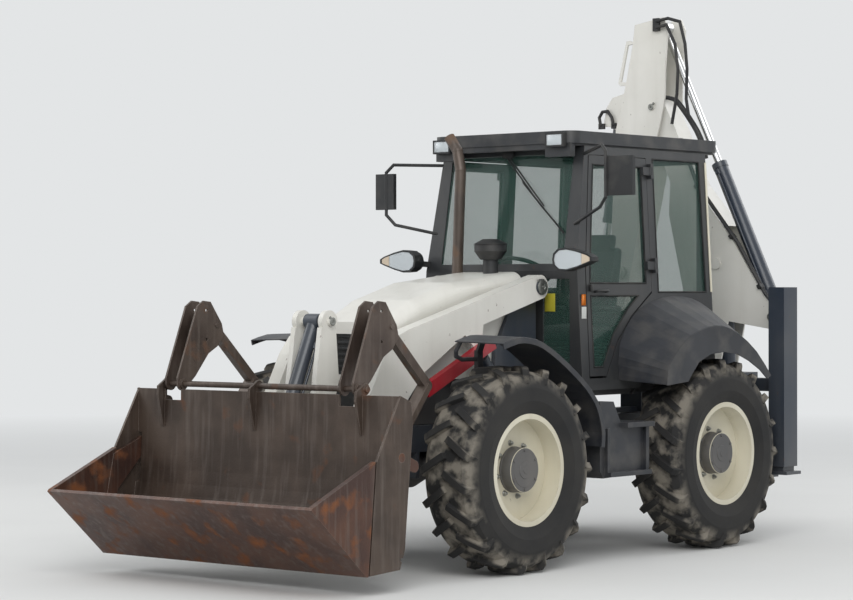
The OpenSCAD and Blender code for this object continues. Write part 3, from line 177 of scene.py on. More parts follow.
def painted(name, colour, faded, dust="#8d8578", rust=0.35, dusty=0.5, roughness=0.38, chips=0.7):
    material, tree, shader, place = start(name, roughness, Coat_Weight=0.25, Coat_Roughness=0.2)
    tone = blend_colours(tree, patches(tree, place, 900, 0.35, 0.7), colour, faded)
    streaks = patches(tree, place, STREAK_MM, 0.5, 0.78, stretch=(1, 1, 0.12))
    tone = blend_colours(tree, scaled(tree, streaks, 0.4 * dusty), tone, dust)
    film = patches(tree, place, FILM_MM, 0.42, 0.8, detail=8)
    tone = blend_colours(tree, scaled(tree, film, 0.55 * dusty), tone, dust)
    height = add(tree, "ShaderNodeSeparateXYZ", links={0: place}).outputs["Z"]
    low = add(tree, "ShaderNodeMapRange", {"From Min": DUSTY_BELOW_M, "From Max": 0.3}, {"Value": height},
              clamp=True)
    tone = blend_colours(tree, scaled(tree, low.outputs["Result"], 0.5 * dusty), tone, dust)
    spots = patches(tree, place, CHIP_MM, chips, chips + 0.02, detail=9, stretch=(1, 1, 0.7))
    edges = add(tree, "ShaderNodeMath", links={0: edge_share(tree, 4), 1: patches(tree, place, 90, 0.5, 0.6)},
                operation="MULTIPLY").outputs[0]
    worn = add(tree, "ShaderNodeMath", links={0: spots, 1: edges}, operation="MAXIMUM").outputs[0]
    tone = blend_colours(tree, scaled(tree, worn, rust), tone, "#5a3a26")
    tree.links.new(tone, shader.inputs["Base Color"])
    ripple = patches(tree, place, RIPPLE_MM, 0.0, 1.0, detail=2)
    bump(tree, shader, ripple, 0.12, 0.6)
    return material


off_white_enamel = painted("off-white enamel on steel", "#e4e2db", "#d9d7ce", dust="#a39d90", rust=0.6,
                           dusty=0.36, chips=0.71)
navy_enamel = painted("dark navy enamel on steel", "#28303c", "#313a47", dust="#6d6a64", rust=0.3, dusty=0.4)
charcoal_powder_coat = painted("charcoal powder coat on steel", "#202225", "#2a2c2e", dust="#5e5c57",
                               dusty=0.35, roughness=0.5)
red_enamel = painted("red enamel on steel", "#a8182a", "#9a2230", rust=0.4, dusty=0.35)
cream_enamel = painted("cream enamel on pressed steel", "#e2ddca", "#d5cfb9", dust="#a59a82", rust=0.45,
                       dusty=0.55, chips=0.71)
dark_casting = painted("grey paint on cast iron", "#3f4145", "#4a4a4b", dust="#75706a", dusty=0.7,
                       roughness=0.6)
print("paints made")

# %% [markdown]
# ## Rusty steel of the bucket
# The bucket and forks have lost their paint. Bare plate rusts in layers: an even dark brown skin, orange
# where it is damp and fresh, and grey polished streaks where gravel slides down the plate. Rust is matt and
# hardly metal, the polished edges are brighter, and pits of about a centimetre break up the highlight.

# %% Rusty plate
PIT_MM = 14
SCRATCH_MM = 40
FRESH_RUST_MM = 170


def rusty(name, dark, mid, fresh, polished=0.35, fresh_low=0.55):
    material, tree, shader, place = start(name, 0.62, metallic=0.35)
    tone = blend_colours(tree, patches(tree, place, 300, 0.38, 0.66, detail=8), dark, mid)
    scratches = patches(tree, place, SCRATCH_MM, 0.5, 0.74, detail=8, stretch=(1, 1, 0.08))
    tone = blend_colours(tree, scaled(tree, scratches, 0.55), tone, "#6d635c")
    orange = patches(tree, place, FRESH_RUST_MM, fresh_low, fresh_low + 0.16, detail=10)
    tone = blend_colours(tree, orange, tone, fresh)
    tone = blend_colours(tree, scaled(tree, edge_share(tree, 6), polished), tone, "#9a8f86")
    tree.links.new(tone, shader.inputs["Base Color"])
    rough = add(tree, "ShaderNodeMapRange", {"To Min": 0.42, "To Max": 0.85}, {"Value": orange})
    tree.links.new(rough.outputs["Result"], shader.inputs["Roughness"])
    pits = patches(tree, place, PIT_MM, 0.25, 0.8, detail=8)
    bump(tree, shader, pits, 0.8, 0.7, radius_mm=4)
    return material


bucket_plate = rusty("rusty mild steel plate", "#40352e", "#574a41", "#6c4a36", fresh_low=0.63)
jaw_plate = rusty("orange rusted mild steel plate", "#44302a", "#5e4032", "#82502f", fresh_low=0.54)
fork_steel = rusty("rusty forged steel", "#463b35", "#5f534b", "#6d4f3c", fresh_low=0.6)
exhaust_steel = rusty("heat-rusted exhaust tube", "#4b423c", "#63564c", "#705a4a", polished=0.2, fresh_low=0.55)
print("rusty steels made")

# %% [markdown]
# ## Tyre rubber
# Tractor tyre rubber is a matt near-black. The lugs' sides carry pale dried mud, the faces that press on the
# ground are rubbed dark, and the sidewalls hold a thin film of dust and fine moulded rings. All of it is
# worked out from the distance to the wheel's centre, so the mud stays where the tread is.

# %% Tyre rubber
RING_WAVES_PER_M = 900.0


def tyre_rubber(name, centre_x):
    material, tree, shader, place = start(name, 0.82)
    centre = at(centre_x, 0, TYRE_RADIUS)
    away = add(tree, "ShaderNodeVectorMath", {1: centre}, {0: place}, operation="SUBTRACT")
    flat = add(tree, "ShaderNodeVectorMath", {1: (1, 0, 1)}, {0: away.outputs[0]}, operation="MULTIPLY")
    radius = add(tree, "ShaderNodeVectorMath", links={0: flat.outputs[0]}, operation="LENGTH").outputs["Value"]

    def within(edge, full):
        return add(tree, "ShaderNodeMapRange", {"From Min": edge, "From Max": full}, {"Value": radius},
                   clamp=True).outputs[0]

    def combined(operation, first, second):
        return add(tree, "ShaderNodeMath", links={0: first, 1: second}, operation=operation).outputs[0]

    tread = combined("MULTIPLY", within(0.56, 0.64), within(0.696, 0.68))
    mud = combined("MULTIPLY", tread, patches(tree, place, 110, 0.42, 0.6, detail=8))
    film = patches(tree, place, 260, 0.3, 0.85, detail=6)
    tone = blend_colours(tree, scaled(tree, film, 0.3), "#19191a", "#4d4943")
    tone = blend_colours(tree, scaled(tree, mud, 0.75), tone, "#8f887c")
    tree.links.new(tone, shader.inputs["Base Color"])
    rings = add(tree, "ShaderNodeMath", {1: RING_WAVES_PER_M}, {0: radius}, operation="MULTIPLY").outputs[0]
    wave = add(tree, "ShaderNodeMath", links={0: rings}, operation="SINE").outputs[0]
    ribbed = combined("MULTIPLY", wave, within(0.53, 0.5))
    grain = combined("ADD", ribbed, patches(tree, place, 9, 0, 1))
    bump(tree, shader, grain, 0.5, 0.5, radius_mm=5)
    return material


front_rubber = tyre_rubber("tyre rubber, front", 0)
rear_rubber = tyre_rubber("tyre rubber, rear", REAR_AXLE_X)
print("tyre rubbers made")

# %% [markdown]
# ## Plastic, rubber and vinyl
# Moulded plastic, hose rubber and seat vinyl are dull, dark and slightly faded by the sun, with a fine leather
# grain. The real grain is under a millimetre and wouldn't show from this far, so it is drawn 3 to 5 mm wide.

# %% Moulded materials
def moulded(name, colour, faded, roughness=0.5, grain_mm=3.0, depth_mm=0.15, dusty=0.2, **sockets):
    material, tree, shader, place = start(name, roughness, **sockets)
    tone = blend_colours(tree, patches(tree, place, 350, 0.35, 0.7), colour, faded)
    dust = scaled(tree, patches(tree, place, 160, 0.45, 0.8, detail=8), dusty)
    tone = blend_colours(tree, dust, tone, "#77726a")
    tree.links.new(tone, shader.inputs["Base Color"])
    bump(tree, shader, patches(tree, place, grain_mm, 0.2, 0.8, detail=2), depth_mm, 0.5, radius_mm=4)
    return material


black_plastic = moulded("black moulded polypropylene", "#17181a", "#222426")
fender_plastic = moulded("dark grey moulded polyethylene", "#26282d", "#303237", roughness=0.48, dusty=0.3)
roof_plastic = moulded("charcoal glass-fibre roof", "#26282b", "#313336", roughness=0.42, dusty=0.3)
hose_rubber = moulded("braided hose rubber", "#161719", "#232426", roughness=0.6, grain_mm=4, depth_mm=0.4)
weather_seal = moulded("black extruded rubber seal", "#0d0e0f", "#161718", roughness=0.7)
seat_vinyl = moulded("black seat vinyl", "#1b1c1f", "#26272a", roughness=0.55, grain_mm=5, depth_mm=0.4,
                     dusty=0.1)
print("plastics, rubbers and vinyl made")

# %% [markdown]
# ## Lamp acrylic and vinyl labels
# Acrylic is poured smooth, so its roughness is near 0.1 and it has hardly any grain. Printed vinyl is duller.
# The labels are left blank.

# %% Acrylic and labels
SMOOTH = {"roughness": 0.12, "depth_mm": 0.05, "dusty": 0.05}
amber_plastic = moulded("amber acrylic", "#d8701a", "#e0842a", **SMOOTH)
pale_flasher = moulded("clear flasher acrylic over an amber bulb", "#d9c9b4", "#cdbba2", **SMOOTH)
red_plastic = moulded("red acrylic", "#a3151c", "#8f1118", **SMOOTH)
label_white = moulded("blank white vinyl label", "#d6d8d4", "#c4c6c2", roughness=0.4, depth_mm=0.03, dusty=0.15)
label_yellow = moulded("blank yellow vinyl label", "#c9bf3e", "#b8ae38", roughness=0.4, depth_mm=0.03, dusty=0.1)
print("acrylics and labels made")

# %% [markdown]
# ## Bright metals
# A ram's rod is hard chrome, ground and oiled, and a mirror's back is silver: both are full metals whose colour
# tints what they reflect. Zinc plating on bolts is duller. A lamp's bowl is pressed in facets about 14 mm wide.

# %% Bright metals
zinc_steel = moulded("zinc-plated steel", "#9b9c98", "#83847f", roughness=0.35, Metallic=0.9, dusty=0.35)
chrome = moulded("hard chrome on a ram's rod", "#d3d4d4", "#c4c5c6", roughness=0.12, Metallic=1.0,
                 depth_mm=0.02, dusty=0.05)
mirror_glass = moulded("silvered mirror glass", "#d9dde0", "#d0d4d8", roughness=0.03, Metallic=1.0,
                       depth_mm=0.0, dusty=0.0)
reflector = moulded("silvered lamp reflector", "#dfe3e6", "#cfd4d8", roughness=0.1, Metallic=1.0,
                    grain_mm=14, depth_mm=1.5, dusty=0.0)
print("bright metals made")

# %% [markdown]
# ## Clear sheets
# Cab glass is float glass with a green tint, and a lamp's lens is polycarbonate. A thin pane hardly bends
# light, so each is a tinted film, mostly see-through, with a sharp gloss and a little dust.

# %% Clear sheets
def clear_sheet(name, colour, alpha):
    material, tree, shader, place = start(name, 0.03, Alpha=alpha, Coat_Weight=0.6)
    dust = scaled(tree, patches(tree, place, 420, 0.4, 1.0, detail=3), 0.1)
    tree.links.new(blend_colours(tree, dust, colour, "#a9a79f"), shader.inputs["Base Color"])
    return material


cab_tint = clear_sheet("green-tinted float glass", "#3f6157", 0.27)
lamp_lens = clear_sheet("clear polycarbonate lamp lens", "#e6ecef", 0.4)
print("materials made:", len(bpy.data.materials))

# %% [markdown]
# ## Giving the carried-over solids their materials
# The solids keep their shape. Each one's material slots are filled from this table, which lists the nodes of
# each finish. A name that ends in a star stands for every node that starts with it.

# %% Node materials
nodes_of_finish = [
    (navy_enamel, "main_frame slide_frame carriage slew_post stabiliser* lift_barrels tilt_barrel jaw_barrels"),
    (navy_enamel, "boom_barrel dipper_barrel dig_barrel"),
    (off_white_enamel, "hood loader_arms boom dipper dig_rocker dig_link"),
    (dark_casting, "axles engine_block knuckle*"),
    (charcoal_powder_coat, "grille cab_frame door_left door_right"),
    (cab_tint, "cab_glass door_glass*"),
    (black_plastic, "pre_cleaner console lamps_and_mirrors"),
    (fender_plastic, "fenders_and_tanks"), (roof_plastic, "cab_roof"), (seat_vinyl, "seat"),
    (front_rubber, "tyre_front*"), (rear_rubber, "tyre_rear*"), (cream_enamel, "rim*"),
    (red_enamel, "arm_strut"), (chrome, "lift_rods tilt_rod jaw_rods boom_rod dipper_rod dig_rod"),
    (bucket_plate, "loader_bucket dig_bucket"), (jaw_plate, "bucket_jaw"), (fork_steel, "fork*"),
    (exhaust_steel, "exhaust"), (hose_rubber, "boom_lines dipper_lines"),
]


def finish_of(node):
    for material, names in nodes_of_finish:
        for name in names.split():
            if node == name or (name.endswith("*") and node.startswith(name[:-1])):
                return material
    raise KeyError(node)


for node, node_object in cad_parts.items():
    for material_slot in node_object.material_slots:
        material_slot.material = finish_of(node)
print("nodes finished:", len(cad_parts))

# %% [markdown]
# ## Building small pieces
# Four forms are enough for most hardware. A lathe turns a profile round an axis, for nuts, caps and hubs. A
# block is a box with rounded edges. A tube follows a line of points, and a prism fills an outline. Small forms
# are gathered in one mesh for each body and finish, so that a set of bolts is one object.

# %% Turned forms
def turned(axis, centre):
    """A 4x4 that takes local +Z to axis and the origin to centre."""
    turn = Vector((0, 0, 1)).rotation_difference(Vector(axis).normalized())
    return Matrix.Translation(centre) @ turn.to_matrix().to_4x4()


def add_lathe(form, profile_mm, axis, centre, steps=32):
    """Turns (radius, height) points round the axis. A radius of nothing closes the form in one point."""
    placed = turned(axis, centre)
    rings = []
    for radius, height in profile_mm:
        if radius < 0.01:
            rings.append([form.verts.new(placed @ Vector((0, 0, height / 1000)))])
            continue
        ring = []
        for i in range(steps):
            angle = 2 * math.pi * i / steps
            point = Vector((radius * math.cos(angle), radius * math.sin(angle), height)) / 1000
            ring.append(form.verts.new(placed @ point))
        rings.append(ring)
    for low, high in zip(rings, rings[1:]):
        for i in range(steps):
            a, b = low[i % len(low)], low[(i + 1) % len(low)]
            c, d = high[(i + 1) % len(high)], high[i % len(high)]
            corners = []
            for v in (a, b, c, d):
                if v not in corners:
                    corners.append(v)
            if len(corners) > 2:
                form.faces.new(corners)
    for ring in (rings[0], rings[-1]):
        if len(ring) > 2:
            form.faces.new(ring if ring is rings[-1] else list(reversed(ring)))


# %% Blocks, tubes and prisms
def add_block(form, low, high, round_mm=3.0):
    made = bmesh.ops.create_cube(form, size=1.0)
    centre, size = (low + high) / 2, high - low
    bmesh.ops.scale(form, vec=size, verts=made["verts"])
    bmesh.ops.translate(form, vec=centre, verts=made["verts"])
    edges = {e for v in made["verts"] for e in v.link_edges}
    bmesh.ops.bevel(form, geom=list(edges), offset=round_mm / 1000, segments=2, profile=0.5, affect="EDGES")


def add_tube(form, points, radius_mm, steps=12):
    rings = []
    side = None
    for i, point in enumerate(points):
        ahead = points[min(i + 1, len(points) - 1)] - points[max(i - 1, 0)]
        ahead.normalize()
        if side is None:
            side = ahead.orthogonal().normalized()
        side = (side - ahead * side.dot(ahead)).normalized()
        up = ahead.cross(side)
        ring = []
        for k in range(steps):
            angle = 2 * math.pi * k / steps
            ring.append(form.verts.new(point + (side * math.cos(angle) + up * math.sin(angle)) * radius_mm / 1000))
        rings.append(ring)
    for low, high in zip(rings, rings[1:]):
        for k in range(steps):
            form.faces.new((low[k], low[(k + 1) % steps], high[(k + 1) % steps], high[k]))
    form.faces.new(list(reversed(rings[0])))
    form.faces.new(rings[-1])


def smooth_path(points, steps=6):
    """A smooth curve through the points, with more points between them."""
    path = []
    for i in range(len(points) - 1):
        a, b, c, d = points[max(i - 1, 0)], points[i], points[i + 1], points[min(i + 2, len(points) - 1)]
        for s in range(steps):
            t = s / steps
            square, cube = (2 * a - 5 * b + 4 * c - d) * t * t, (3 * b - a - 3 * c + d) * t ** 3
            path.append(0.5 * (2 * b + (c - a) * t + square + cube))
    return path + [points[-1]]


def add_prism(form, outline, x_low, x_high, s):
    back = [form.verts.new(at(x_low, s * y, z)) for y, z in outline]
    front = [form.verts.new(at(x_high, s * y, z)) for y, z in outline]
    form.faces.new(back)
    form.faces.new(list(reversed(front)))
    for i in range(len(outline)):
        j = (i + 1) % len(outline)
        form.faces.new((back[i], front[i], front[j], back[j]))


# %% [markdown]
# A finished form becomes an object here, with the material given, and rides on a body of the frame.
# Faces are shaded smooth, apart from edges sharper than the angle given.

# %% From form to piece
def piece(name, form, material, body, smooth_deg=35):
    bmesh.ops.recalc_face_normals(form, faces=form.faces)
    mesh = bpy.data.meshes.new(name)
    form.to_mesh(mesh)
    form.free()
    for polygon in mesh.polygons:
        polygon.use_smooth = True
    mesh.set_sharp_from_angle(angle=math.radians(smooth_deg))
    made = bpy.data.objects.new(name, mesh)
    made.data.materials.append(material)
    bpy.context.scene.collection.objects.link(made)
    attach(made, body)
    print(name, "on", body, len(mesh.polygons), "faces")
    return made


# %% [markdown]
# ## Wheel nuts and hub covers
# Each rim is held by eight nuts on round washers, round a dark cast hub that stands out of the dish. The hub
# has a cover with six bolts and a plug. All eight nuts are one mesh, made by a loop over their angles.

# %% Wheels
HUB_PLANE = 995
NUT_COUNT, NUT_CIRCLE, FIRST_NUT_DEG = 8, 185, 12
BOLT_COUNT, BOLT_CIRCLE = 6, 132
WASHER = [(20, 0), (20, 3), (16, 5)]
NUT = [(15, 4), (15, 17), (12.5, 19)]
STUD = [(8, 18), (8, 27), (6, 29)]
COVER_BOLT = [(11, 0), (11, 7), (9, 8.5)]
HUB = [(151, 15), (156, 15), (156, 24), (151.5, 28), (151.5, 104), (147, 110.5), (118, 111), (116, 113),
       (60, 113.5), (58, 117), (24, 117.5), (22, 121), (0, 121)]
for axle, axle_x in (("front", 0), ("rear", REAR_AXLE_X)):
    for side_name, s in SIDES:
        body = f"wheel_{axle}_{side_name}"
        out = (0, s, 0)
        nuts = bmesh.new()
        for i in range(NUT_COUNT):
            a = math.radians(360 / NUT_COUNT * i + FIRST_NUT_DEG)
            centre = at(axle_x + NUT_CIRCLE * math.cos(a), s * (HUB_PLANE + 14),
                        TYRE_RADIUS - NUT_CIRCLE * math.sin(a))
            for profile, steps in ((WASHER, 20), (NUT, 6), (STUD, 12)):
                add_lathe(nuts, profile, out, centre, steps)
        piece(f"wheel_nuts_{axle}_{side_name}", nuts, zinc_steel, body)
        hub = bmesh.new()
        add_lathe(hub, HUB, out, at(axle_x, s * HUB_PLANE, TYRE_RADIUS), 48)
        for i in range(BOLT_COUNT):
            a = math.radians(360 / BOLT_COUNT * i + 30)
            bolt = at(axle_x + BOLT_CIRCLE * math.cos(a), s * (HUB_PLANE + 110),
                      TYRE_RADIUS + BOLT_CIRCLE * math.sin(a))
            add_lathe(hub, COVER_BOLT, out, bolt, 6)
        piece(f"hub_cover_{axle}_{side_name}", hub, dark_casting, body)

# %% [markdown]
# ## Headlamps
# The headlamp is a teardrop shell on a bracket. In its mouth sit a silvered bowl behind a clear lens, and a
# pale flasher at the outer end. Each is the part of one outline between two distances from the middle, a
# little smaller than the shell's mouth, so the shell shows round them as a dark rim.

# %% Headlamps
LAMP_OUTLINE = [(640, 2125), (650, 2170), (690, 2203), (760, 2210), (850, 2192), (950, 2162), (990, 2142),
                (990, 2112), (950, 2096), (850, 2064), (760, 2042), (690, 2047), (650, 2080)]
LAMP_MIDDLE = (815, 2125)
MOUTH_SHARE = (0.89, 0.83)


def lamp_section(y_from, y_to):
    """The part of the mouth between two distances from the middle, as (y, z) points."""
    points = [(LAMP_MIDDLE[0] + MOUTH_SHARE[0] * (y - LAMP_MIDDLE[0]),
               LAMP_MIDDLE[1] + MOUTH_SHARE[1] * (z - LAMP_MIDDLE[1])) for y, z in LAMP_OUTLINE]
    cut = []
    for i, (y, z) in enumerate(points):
        y2, z2 = points[(i + 1) % len(points)]
        if y_from <= y <= y_to:
            cut.append((y, z))
        for limit in sorted((y_from, y_to), key=lambda v: abs(v - y)):
            if (y - limit) * (y2 - limit) < 0:
                cut.append((limit, z + (z2 - z) * (limit - y) / (y2 - y)))
    return cut


HEADLAMP_PIECES = [("bowl", 660, 898, -916, -912, reflector), ("lens", 660, 898, -910, -903, lamp_lens),
                   ("flasher", 902, 970, -916, -904, pale_flasher)]
for side_name, s in SIDES:
    for what, y_from, y_to, x_low, x_high, material in HEADLAMP_PIECES:
        form = bmesh.new()
        add_prism(form, lamp_section(y_from, y_to), x_low, x_high, s)
        piece(f"headlamp_{what}_{side_name}", form, material, "machine")

# %% [markdown]
# ## Work lamps and mirrors
# Two square work lamps stand on the front edge of the roof, each a bowl behind a lens. A mirror's silvered
# glass lies in the back of its housing, which faces the driver.

# %% Work lamps
WORK_LAMPS = (("left", (442, 602), (2938, 3040)), ("right", (-617, -455), (2925, 3027)))
for name, y, z in WORK_LAMPS:
    for what, x_low, x_high, inset, round_mm, material in (
            ("bowl", -1091, -1087, 14, 1, reflector), ("lens", -1085, -1081, 13, 1.5, lamp_lens)):
        form = bmesh.new()
        add_block(form, at(x_low, y[0] + inset, z[0] + inset), at(x_high, y[1] - inset, z[1] - inset), round_mm)
        piece(f"work_lamp_{what}_{name}", form, material, "machine")

# %% Mirrors
MIRRORS = (("left", -1164.5, (962, 1166), (2594, 2842)), ("right", -1088.5, (-1150, -1000), (2536, 2774)))
for name, x, y, z in MIRRORS:
    form = bmesh.new()
    add_block(form, at(x - 2.5, y[0], z[0]), at(x + 0.5, y[1], z[1]), 1)
    piece(f"mirror_glass_{name}", form, mirror_glass, "machine")

# %% [markdown]
# ## Wiper
# The windscreen leans back, so the wiper is placed by how far it stands off the glass. It has a pair of thin
# arms and one rubber blade, and hangs from its motor above the screen.

# %% Wiper
SCREEN_FOOT_Z, SCREEN_FOOT_X = 2050, -1110
SCREEN_SLOPE = 160 / 905


def on_screen(y, z, out_mm):
    return at(SCREEN_FOOT_X - SCREEN_SLOPE * (z - SCREEN_FOOT_Z) + out_mm, y, z)


wiper = bmesh.new()
for shift in (0, 26):
    arm = [on_screen(y + shift, z, out_mm) for y, z, out_mm in ((-40, 2895, 26), (150, 2700, 20), (330, 2520, 14))]
    add_tube(wiper, arm, 6)
add_tube(wiper, [on_screen(y, z, 8) for y, z in ((130, 2700), (340, 2510), (560, 2320))], 7)
add_block(wiper, on_screen(-70, 2880, 4), on_screen(30, 2930, 40), 6)
piece("windscreen_wiper", wiper, weather_seal, "machine")

# %% [markdown]
# ## Seals and door handles
# Each pane sits in a rubber section that stands a few millimetres proud. A tube of rubber run along the
# pane's edge gives the dark outline that a glazed cab has. The cab's sides lean inwards, so a place on a side
# is given by its height up the leaning skin and how far it stands off it.

# %% Glass seals and handles
LEAN = math.radians(3.3)
LEAN_FROM_Z, SKIN_Y = 1340, 750


def on_side(x, out_mm, z, s):
    """A point on the cab's leaning side, out_mm proud of the skin."""
    along = z - LEAN_FROM_Z
    y = SKIN_Y + out_mm * math.cos(LEAN) - along * math.sin(LEAN)
    return at(x, s * y, LEAN_FROM_Z + along * math.cos(LEAN) + out_mm * math.sin(LEAN))


def add_frame(form, outline, out_mm, s, radius_mm=7):
    loop = [on_side(x, out_mm, z, s) for x, z in outline]
    for i in range(len(loop)):
        add_tube(form, [loop[i], loop[(i + 1) % len(loop)]], radius_mm, 8)


DOOR_PANES = [[(-1256, 1960), (-1946, 1960), (-1946, 2820), (-1353, 2820), (-1262, 2062)],
              [(-1255, 1355), (-1368, 1355), (-1508, 1584), (-1708, 1779), (-1846, 1870), (-1255, 1870)]]
REAR_PANE = [(-2100, 1895), (-2725, 1895), (-2706, 2886), (-2100, 2886)]
HANDLE = [(-1300, 4, 1898), (-1310, 40, 1902), (-1410, 44, 1902), (-1428, 4, 1898)]
for side_name, s in SIDES:
    seal = bmesh.new()
    for outline in DOOR_PANES:
        add_frame(seal, outline, -2, s)
    piece(f"door_seal_{side_name}", seal, weather_seal, f"door_{side_name}")
    seal = bmesh.new()
    add_frame(seal, REAR_PANE, -4, s)
    piece(f"side_pane_seal_{side_name}", seal, weather_seal, "machine")
    handle = bmesh.new()
    add_block(handle, on_side(-1262, 2, 1900, s), on_side(-1236, 26, 1950, s), 5)
    add_tube(handle, smooth_path([on_side(x, out_mm, z, s) for x, out_mm, z in HANDLE], 5), 9)
    piece(f"door_handle_{side_name}", handle, black_plastic, f"door_{side_name}")

# %% [markdown]
# ## Reflectors, labels and tail lamps
# An amber reflector and a blank white label are stuck on the post ahead of each door, and a blank yellow one
# on the low front pane. A cream strip runs up the rear pillar, and red tail lamps stand beside it.

# %% Reflectors and labels
trim = {colour: bmesh.new() for colour in ("amber", "white", "red", "cream", "yellow")}
add_block(trim["yellow"], at(-1117.5, 410, 1755), at(-1115.5, 505, 1885), 0.6)
for side_name, s in SIDES:
    add_block(trim["amber"], on_side(-1190, 0.5, 1800, s), on_side(-1140, 6, 1880, s), 2)
    add_block(trim["white"], on_side(-1192, 0.4, 1705, s), on_side(-1138, 1.6, 1790, s), 0.5)
    add_block(trim["red"], at(-2856, s * 606, 1672), at(-2846, s * 649, 1750), 3)
    add_tube(trim["cream"], [on_side(-2790, 1, 1895, s), on_side(-2790, 1, 2885, s)], 9)
piece("rear_pillar_strips", trim["cream"], cream_enamel, "machine")
piece("blank_pane_label", trim["yellow"], label_yellow, "machine")
piece("side_reflectors", trim["amber"], amber_plastic, "machine")
piece("blank_door_post_labels", trim["white"], label_white, "machine")
piece("tail_lamps", trim["red"], red_plastic, "machine")

# %% [markdown]
# ## The driver's seat
# A sprung seat has a deep foam cushion and a high back covered in vinyl, sewn in panels. Each cushion starts
# as a grid with a top and a bottom skin. Its sides pull in between the corners, its top is crowned, and each
# sewn channel is a narrow groove. One subdivision rounds it off.

# %% Seat cushions
CROWN_MM = 22
CHANNEL_WIDTH, CHANNEL_DEPTH_M = 0.018, 0.012


def cushion(name, size_mm, centre, tilt_deg, channels):
    """A padded form of wide, deep and thick size_mm. Channels are shares of the depth from the middle."""
    form = bmesh.new()
    bmesh.ops.create_grid(form, x_segments=28, y_segments=28, size=0.5)
    bmesh.ops.solidify(form, geom=form.faces[:], thickness=1.0)
    wide, deep, thick = (v / 1000 for v in size_mm)
    for v in form.verts:
        x, y, z = v.co.x, v.co.y, 0.5 if v.co.z > -0.001 else -0.5
        edge = (max(0.0, 1 - (2 * x) ** 6) * max(0.0, 1 - (2 * y) ** 6)) ** 0.4
        pulled = 1 - 0.05 * (1 - edge)
        height = z * thick * (0.35 + 0.65 * edge)
        if z > 0:
            groove = sum(math.exp(-((y - c) / CHANNEL_WIDTH) ** 2) for c in channels)
            height += CROWN_MM / 1000 * (1 - (2 * x) ** 2) * (1 - (2 * y) ** 2) - CHANNEL_DEPTH_M * groove
        v.co = Vector((x * wide * pulled, y * deep * pulled, height))
    tilt = Matrix.Rotation(math.radians(tilt_deg), 4, "Y") @ Matrix.Rotation(math.pi / 2, 4, "Z")
    form.transform(Matrix.Translation(centre) @ tilt)
    made = piece(name, form, seat_vinyl, "machine", smooth_deg=80)
    soft = made.modifiers.new("round", "SUBSURF")
    soft.levels = soft.render_levels = 1
    return made


seat_cushion = cushion("seat_cushion", (470, 480, 120), at(-2000, 0, 1575), 0, (-0.2, 0.2))
seat_back = cushion("seat_back", (440, 640, 110), at(-2262, 0, 1930), 80, (-0.3, -0.05, 0.2))
head_rest = cushion("head_rest", (300, 170, 90), at(-2318, 0, 2250), 80, ())

# %% [markdown]
# Under the cushion is a box of rubber bellows over the spring, with a post behind the back and two arm rests.
# These and the cushions together stand for the plain solid of the seat, which is hidden.

# %% Seat base
BELLOWS_COUNT, BELLOWS_STEP = 4, 30
base = bmesh.new()
add_block(base, at(-2190, -190, 1330), at(-1810, 190, 1400), 12)
for i in range(BELLOWS_COUNT):
    low_z = 1400 + BELLOWS_STEP * i
    add_block(base, at(-2180, -182, low_z), at(-1820, 182, low_z + 24), 9)
for s in (-1, 1):
    add_block(base, at(-2230, s * 262 - 28, 1740), at(-1900, s * 262 + 28, 1790), 18)
    add_tube(base, [at(-2215, s * 250, 1560), at(-2215, s * 262, 1745)], 14)
add_tube(base, [at(-2210, 0, 1500), at(-2290, 0, 1980), at(-2322, 0, 2200)], 20)
seat_base = piece("seat_base", base, black_plastic, "machine")
for made in (seat_cushion, seat_back, head_rest, seat_base):
    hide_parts("seat")

# %% [markdown]
# ## Controls
# Four levers stand on the rear console. Each is a bent stalk with a turned knob, all of black plastic.

# %% Levers
KNOB = [(8, 0), (16, 8), (20, 26), (16, 44), (0, 52)]
levers = bmesh.new()
for y in (-220, -150, 150, 220):
    add_tube(levers, smooth_path([at(-2560, y, 1700), at(-2550, y, 1800), at(-2520, y, 1890)], 4), 6)
    add_lathe(levers, KNOB, (0.3, 0, 1), at(-2523, y, 1880), 16)
piece("console_levers", levers, black_plastic, "machine")

# %% [markdown]
# ## Pin ends
# A pin is kept in by its flange and a bolt, and greased through a nipple in its end. The tables give the
# body, the place and the radius of each pin's end: the loader's pins run across the machine, and the digging
# arm's pins run along it. A cap's profile is in shares of the pin's radius. One loop adds a dished cap, a
# keeper bolt and a nipple to both ends.

# %% Pin caps
HOE_X = -3620
ACROSS = [("loader_arms", (1330, 545, 360), 35), ("machine", (-975, 500, 1932), 57),
          ("machine", (-1000, 495, 750), 42), ("loader_arms", (880, 165, 1700), 30)]
ALONG = [("slew_post", (142, 100, 900), 40), ("boom", (140, 802, 1700), 28),
         ("dipper", (142, -334, 3394), 28), ("dig_bucket", (170, -711, 1736), 28)]
CAP = [(0.94, -1), (0.94, 5), (0.86, 7), (0.4, 7), (0.36, 4), (0, 4)]
KEEPER = [(11, -1), (11, 6), (9, 7.5), (0, 7.5)]
NIPPLE = [(5, 3), (5, 9), (3.5, 12), (3.5, 15), (0, 15)]


def pin_end(form, centre, axis, radius):
    along = Vector(axis)
    add_lathe(form, [(radius * share, height) for share, height in CAP], along, centre, 28)
    beside = along.orthogonal().normalized() * (radius + 9) / 1000
    add_lathe(form, KEEPER, along, centre + beside, 6)
    add_lathe(form, NIPPLE, along, centre, 12)


